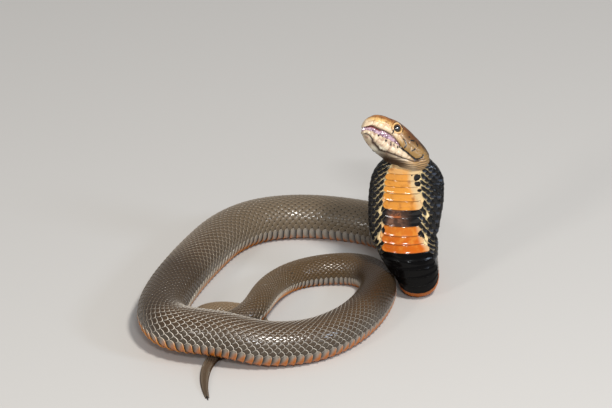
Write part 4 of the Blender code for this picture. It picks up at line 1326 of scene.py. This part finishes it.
# Painted shade in the fold under the lower lip.
colour = (1 - wire.stored("fold").between(0.05, 0.75)).mixed(colour, FOLD_SHADE)
eye_out = wire.stored("eye_out")
colour = eye_out.near(EYE_RING, 0.2, 0.45).mixed(colour, RING_TAN)
outline = eye_out.near(3.2, 0.1, 0.45) * blotch.between(0.35, 0.55)
colour = (outline * 0.8).mixed(colour, CROWN_BROWN)
ragged = wire.noise(1500.0) * 0.8 - 0.4
colour = (1 - (wire.stored("ink") + ragged).between(-0.05, 0.16)).mixed(colour, INK)
link(colour, shader, "Base Color")
head.data.materials.append(head_finish)
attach(head, "root")
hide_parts("head", "lower_jaw")

# THE SCALES OF THE NAPE
# Small smooth scales in slanting rows behind the shields of the head, which run on into those of the hood.
# They sit on rings cast from the middle of the head out to its skin.
# The first and last ring, forward in the head's frame, then the spacing, number and spread of the scales.
NAPE = (3.0, -10.4)
NAPE_LENGTH = NAPE[0] - NAPE[1]
NAPE_RINGS = 31
NAPE_TURNS = 97
NAPE_PITCH = 1.8
NAPE_COLUMNS = 34
NAPE_SPAN = 0.21
NAPE_RISE = 0.22
turns = shares(NAPE_TURNS)
cast = []
for f in np.linspace(*NAPE, NAPE_RINGS):
    middle = head_place(f, np.interp(f, (NAPE[1], 0.0), (0.6, 1.8)), 0.0)
    start = Vector((middle - MIDDLE) * MM)
    ring_points = []
    for turn in turns * 2 * np.pi:
        way = np.array([0.0, -np.cos(turn), np.sin(turn)]) @ head_axes()
        hit, place = head.ray_cast(start, Vector(way))[:2]
        ring_points.append(np.array(place) / MM + MIDDLE if hit else middle + way)
    cast.append(ring_points)
nape = tube("nape_rings", np.array(cast), unwrapped(shares(NAPE_RINGS), 1.0), turns)
keep_places(nape.data, "outward", normals_of(nape))
nape_roots = []
for number, f in enumerate(np.arange(NAPE[0] - 2.6, NAPE[1] + 1.6, -NAPE_PITCH / 2)):
    for column in range(NAPE_COLUMNS):
        v = (column + 0.5 * (number % 2)) / NAPE_COLUMNS
        aside = abs(v - 0.5)
        if aside > NAPE_SPAN or f > 0.6 - 40.0 * np.clip(aside - 0.1, 0.0, 0.155):
            continue
        half_long = NAPE_PITCH / 2 * 1.2 / NAPE_LENGTH
        sizes = (half_long, 0.5 / NAPE_COLUMNS * 0.94, -f, 2 * aside, 0.0, 0.0, 0.0, 1.0)
        nape_roots.append((unwrapped(NAPE[0] - f, NAPE_LENGTH), v, *sizes))
NAPE_CREAM = linear((176, 142, 92))
nape_finish, shader, wire = finish("nape scales", 0.34, specular=0.4)
base = wire.stored("rank").between(0.3, 0.55).mixed(NAPE_BROWN, NAPE_CREAM)
base = (wire.stored("tint") * 0.35).mixed(base, NAPE_BROWN)
base = (wire.stored("rim").between(0.3, 0.8) * 0.6).mixed(base, OLIVE_DARK)
link(base, shader, "Base Color")
nape_scales = wrapped_coat("nape_scales", scale_tree, nape_roots, plain_scale, nape_finish, NAPE_RISE, nape)
bpy.data.objects.remove(nape)
bpy.data.objects.remove(plain_scale)
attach(nape_scales, "root")

# THE EYES
# Round, wet and nearly black, with a thin dark brown iris, set in the socket of each side.
EYE_BLACK = linear((8, 7, 7))
IRIS_BROWN = linear((34, 20, 12))
eye_finish, shader, wire = finish("wet eye", 0.04, coat=1.0, specular=0.6)
iris = wire.stored("from_pupil").within((0.62, 0.68), (0.8, 0.9))
link(iris.mixed(EYE_BLACK, IRIS_BROWN), shader, "Base Color")
for label, node, way in (("left_eye", "eye_left", 1), ("right_eye", "eye_right", -1)):
    ball = bmesh.new()
    bmesh.ops.create_uvsphere(ball, u_segments=48, v_segments=32, radius=EYE_RADIUS * MM)
    mesh = bpy.data.meshes.new(label)
    ball.to_mesh(mesh)
    ball.free()
    eye = in_scene(label, mesh)
    centre = head_place(EYE_PLACE[0], EYE_PLACE[1], EYE_PLACE[2] * way)
    move_points(eye, points_of(eye) - MIDDLE + centre)
    gaze = (points_of(eye) - centre) @ (head_axes()[2] * way) / EYE_RADIUS
    keep(mesh, "from_pupil", np.sqrt(np.clip(1 - gaze**2, 0.0, 1.0)))
    mesh.shade_smooth()
    mesh.materials.append(eye_finish)
    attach(eye, "root")
    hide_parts(node)

# THE MOUTH'S LINING
# Wet, folded tissue, lilac to pink with darker streaks and painted shade under the upper lip, which fills the
# open mouth between the lips.
LINING = (8.0, 28.8)
LINING_RINGS = 60
LINING_INSET = 0.9
# How far the tissue reaches into each lip.
LINING_OVERLAP = 0.35
LILAC = linear((182, 154, 168))
PURPLE = linear((92, 58, 76))
RED_BROWN = linear((104, 38, 34))
upper_rows, lower_rows = fine_stations(UPPER_HEAD), fine_stations(LOWER_JAW)
arc = np.linspace(0.0, 2 * np.pi, ROUND_COLUMNS)
lining_rings = []
for f in np.linspace(*LINING, LINING_RINGS):
    above = np.interp(f, upper_rows[:, 0], upper_rows[:, 4]) + LINING_OVERLAP
    below = np.interp(f, lower_rows[:, 0], lower_rows[:, 2]) - LINING_OVERLAP
    half_width = np.interp(f, lower_rows[:, 0], lower_rows[:, 1]) * LIP_TUCK - LINING_INSET
    folds = 1 + 0.05 * np.sin(3 * arc + 0.9 * f) + 0.03 * np.sin(7 * arc - 1.7 * f)
    out = half_width * squared(np.sin(arc), 0.6) * folds
    level = (above + below) / 2 + (above - below) / 2 * squared(np.cos(arc), 0.4)
    lining_rings.append(head_place(f, level, out))
lining = tube("mouth_tissue", np.array(lining_rings), shares(LINING_RINGS), shares(ROUND_COLUMNS))
fores, ups = in_head(points_of(lining)).T[:2]
roof = np.interp(fores, upper_rows[:, 0], upper_rows[:, 4])
keep(lining.data, "below_roof", roof - ups)
keep(lining.data, "fore", fores)
lining_finish, shader, wire = finish("wet tissue", 0.12, coat=0.6)
below_roof = wire.stored("below_roof")
streak = wire.noise(500.0, Distortion=1.5).between(0.45, 0.58)
colour = (streak * 0.75).mixed(LILAC, PURPLE)
behind_snout = wire.stored("fore").within((19.0, 22.5), (26.8, 28.0))
colour = (behind_snout * (1 - below_roof.between(0.7, 1.6))).mixed(colour, RED_BROWN)
# Painted shade just under the upper lip.
colour = ((1 - below_roof.between(0.0, 0.7)) * 0.7).mixed(colour, PURPLE)
link(colour, shader, "Base Color")
lining.data.materials.append(lining_finish)
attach(lining, "root")
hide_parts("mouth_lining")

# THE FLOOR, THE LIGHT AND THE CAMERA
# A plain pale floor under soft studio light, seen as the photograph sees it, from a little above.
FLOOR_SIZE = 6.0
FLOOR_COLOUR = (0.5, 0.48, 0.455, 1.0)
bpy.ops.mesh.primitive_plane_add(size=FLOOR_SIZE, location=(0.0, 0.0, 0.0))
floor = bpy.context.object
floor.name = "floor"
floor_finish, shader, wire = finish("pale floor", 0.7)
shader.inputs["Base Color"].default_value = FLOOR_COLOUR
floor.data.materials.append(floor_finish)

ELEVATION = np.radians(28.0)
CAMERA_DISTANCE = 2.6
LENS = 278.0
camera = in_scene("camera", bpy.data.cameras.new("camera"))
back = -CAMERA_DISTANCE * np.cos(ELEVATION)
camera.location = (-MIDDLE[0] * MM, back - MIDDLE[1] * MM, CAMERA_DISTANCE * np.sin(ELEVATION))
camera.rotation_euler = (np.pi / 2 - ELEVATION, 0.0, 0.0)
camera.data.lens = LENS
camera.data.sensor_width = 36.0
camera.data.clip_start = 0.1
camera.data.clip_end = 20.0
bpy.context.scene.camera = camera

SKY_COLOUR = (0.95, 0.97, 1.0, 1.0)
SKY_STRENGTH = 0.33
world = bpy.data.worlds.new("studio")
bpy.context.scene.world = world
world.use_nodes = True
bpy.context.scene.view_settings.view_transform = "Standard"
sky = world.node_tree.nodes["Background"]
sky.inputs["Color"].default_value = SKY_COLOUR
sky.inputs["Strength"].default_value = SKY_STRENGTH

# Where the lights are aimed, above the middle of the coil.
AIM = (0.0, 0.0, 0.03)


def softbox(name, place, size, power, colour):
    """An area light of a width and height in metres, aimed at the snake."""
    light = bpy.data.lights.new(name, "AREA")
    light.shape = "RECTANGLE"
    light.size, light.size_y = size
    light.energy = power
    light.color = colour
    made = in_scene(name, light)
    made.location = place
    made.rotation_euler = (Vector(AIM) - Vector(place)).to_track_quat("-Z", "Y").to_euler()


softbox("key", (0.42, -0.85, 1.42), (0.2, 0.2), 24.0, (1.0, 0.97, 0.92))
softbox("catchlight", (-1.0, -1.2, 0.85), (0.25, 0.25), 6.0, (1.0, 0.98, 0.95))
softbox("front", (0.15, -1.7, 1.3), (0.3, 0.05), 14.0, (0.92, 0.96, 1.0))
softbox("fill", (1.2, -0.6, 0.8), (0.25, 0.25), 6.0, (0.66, 0.8, 1.0))
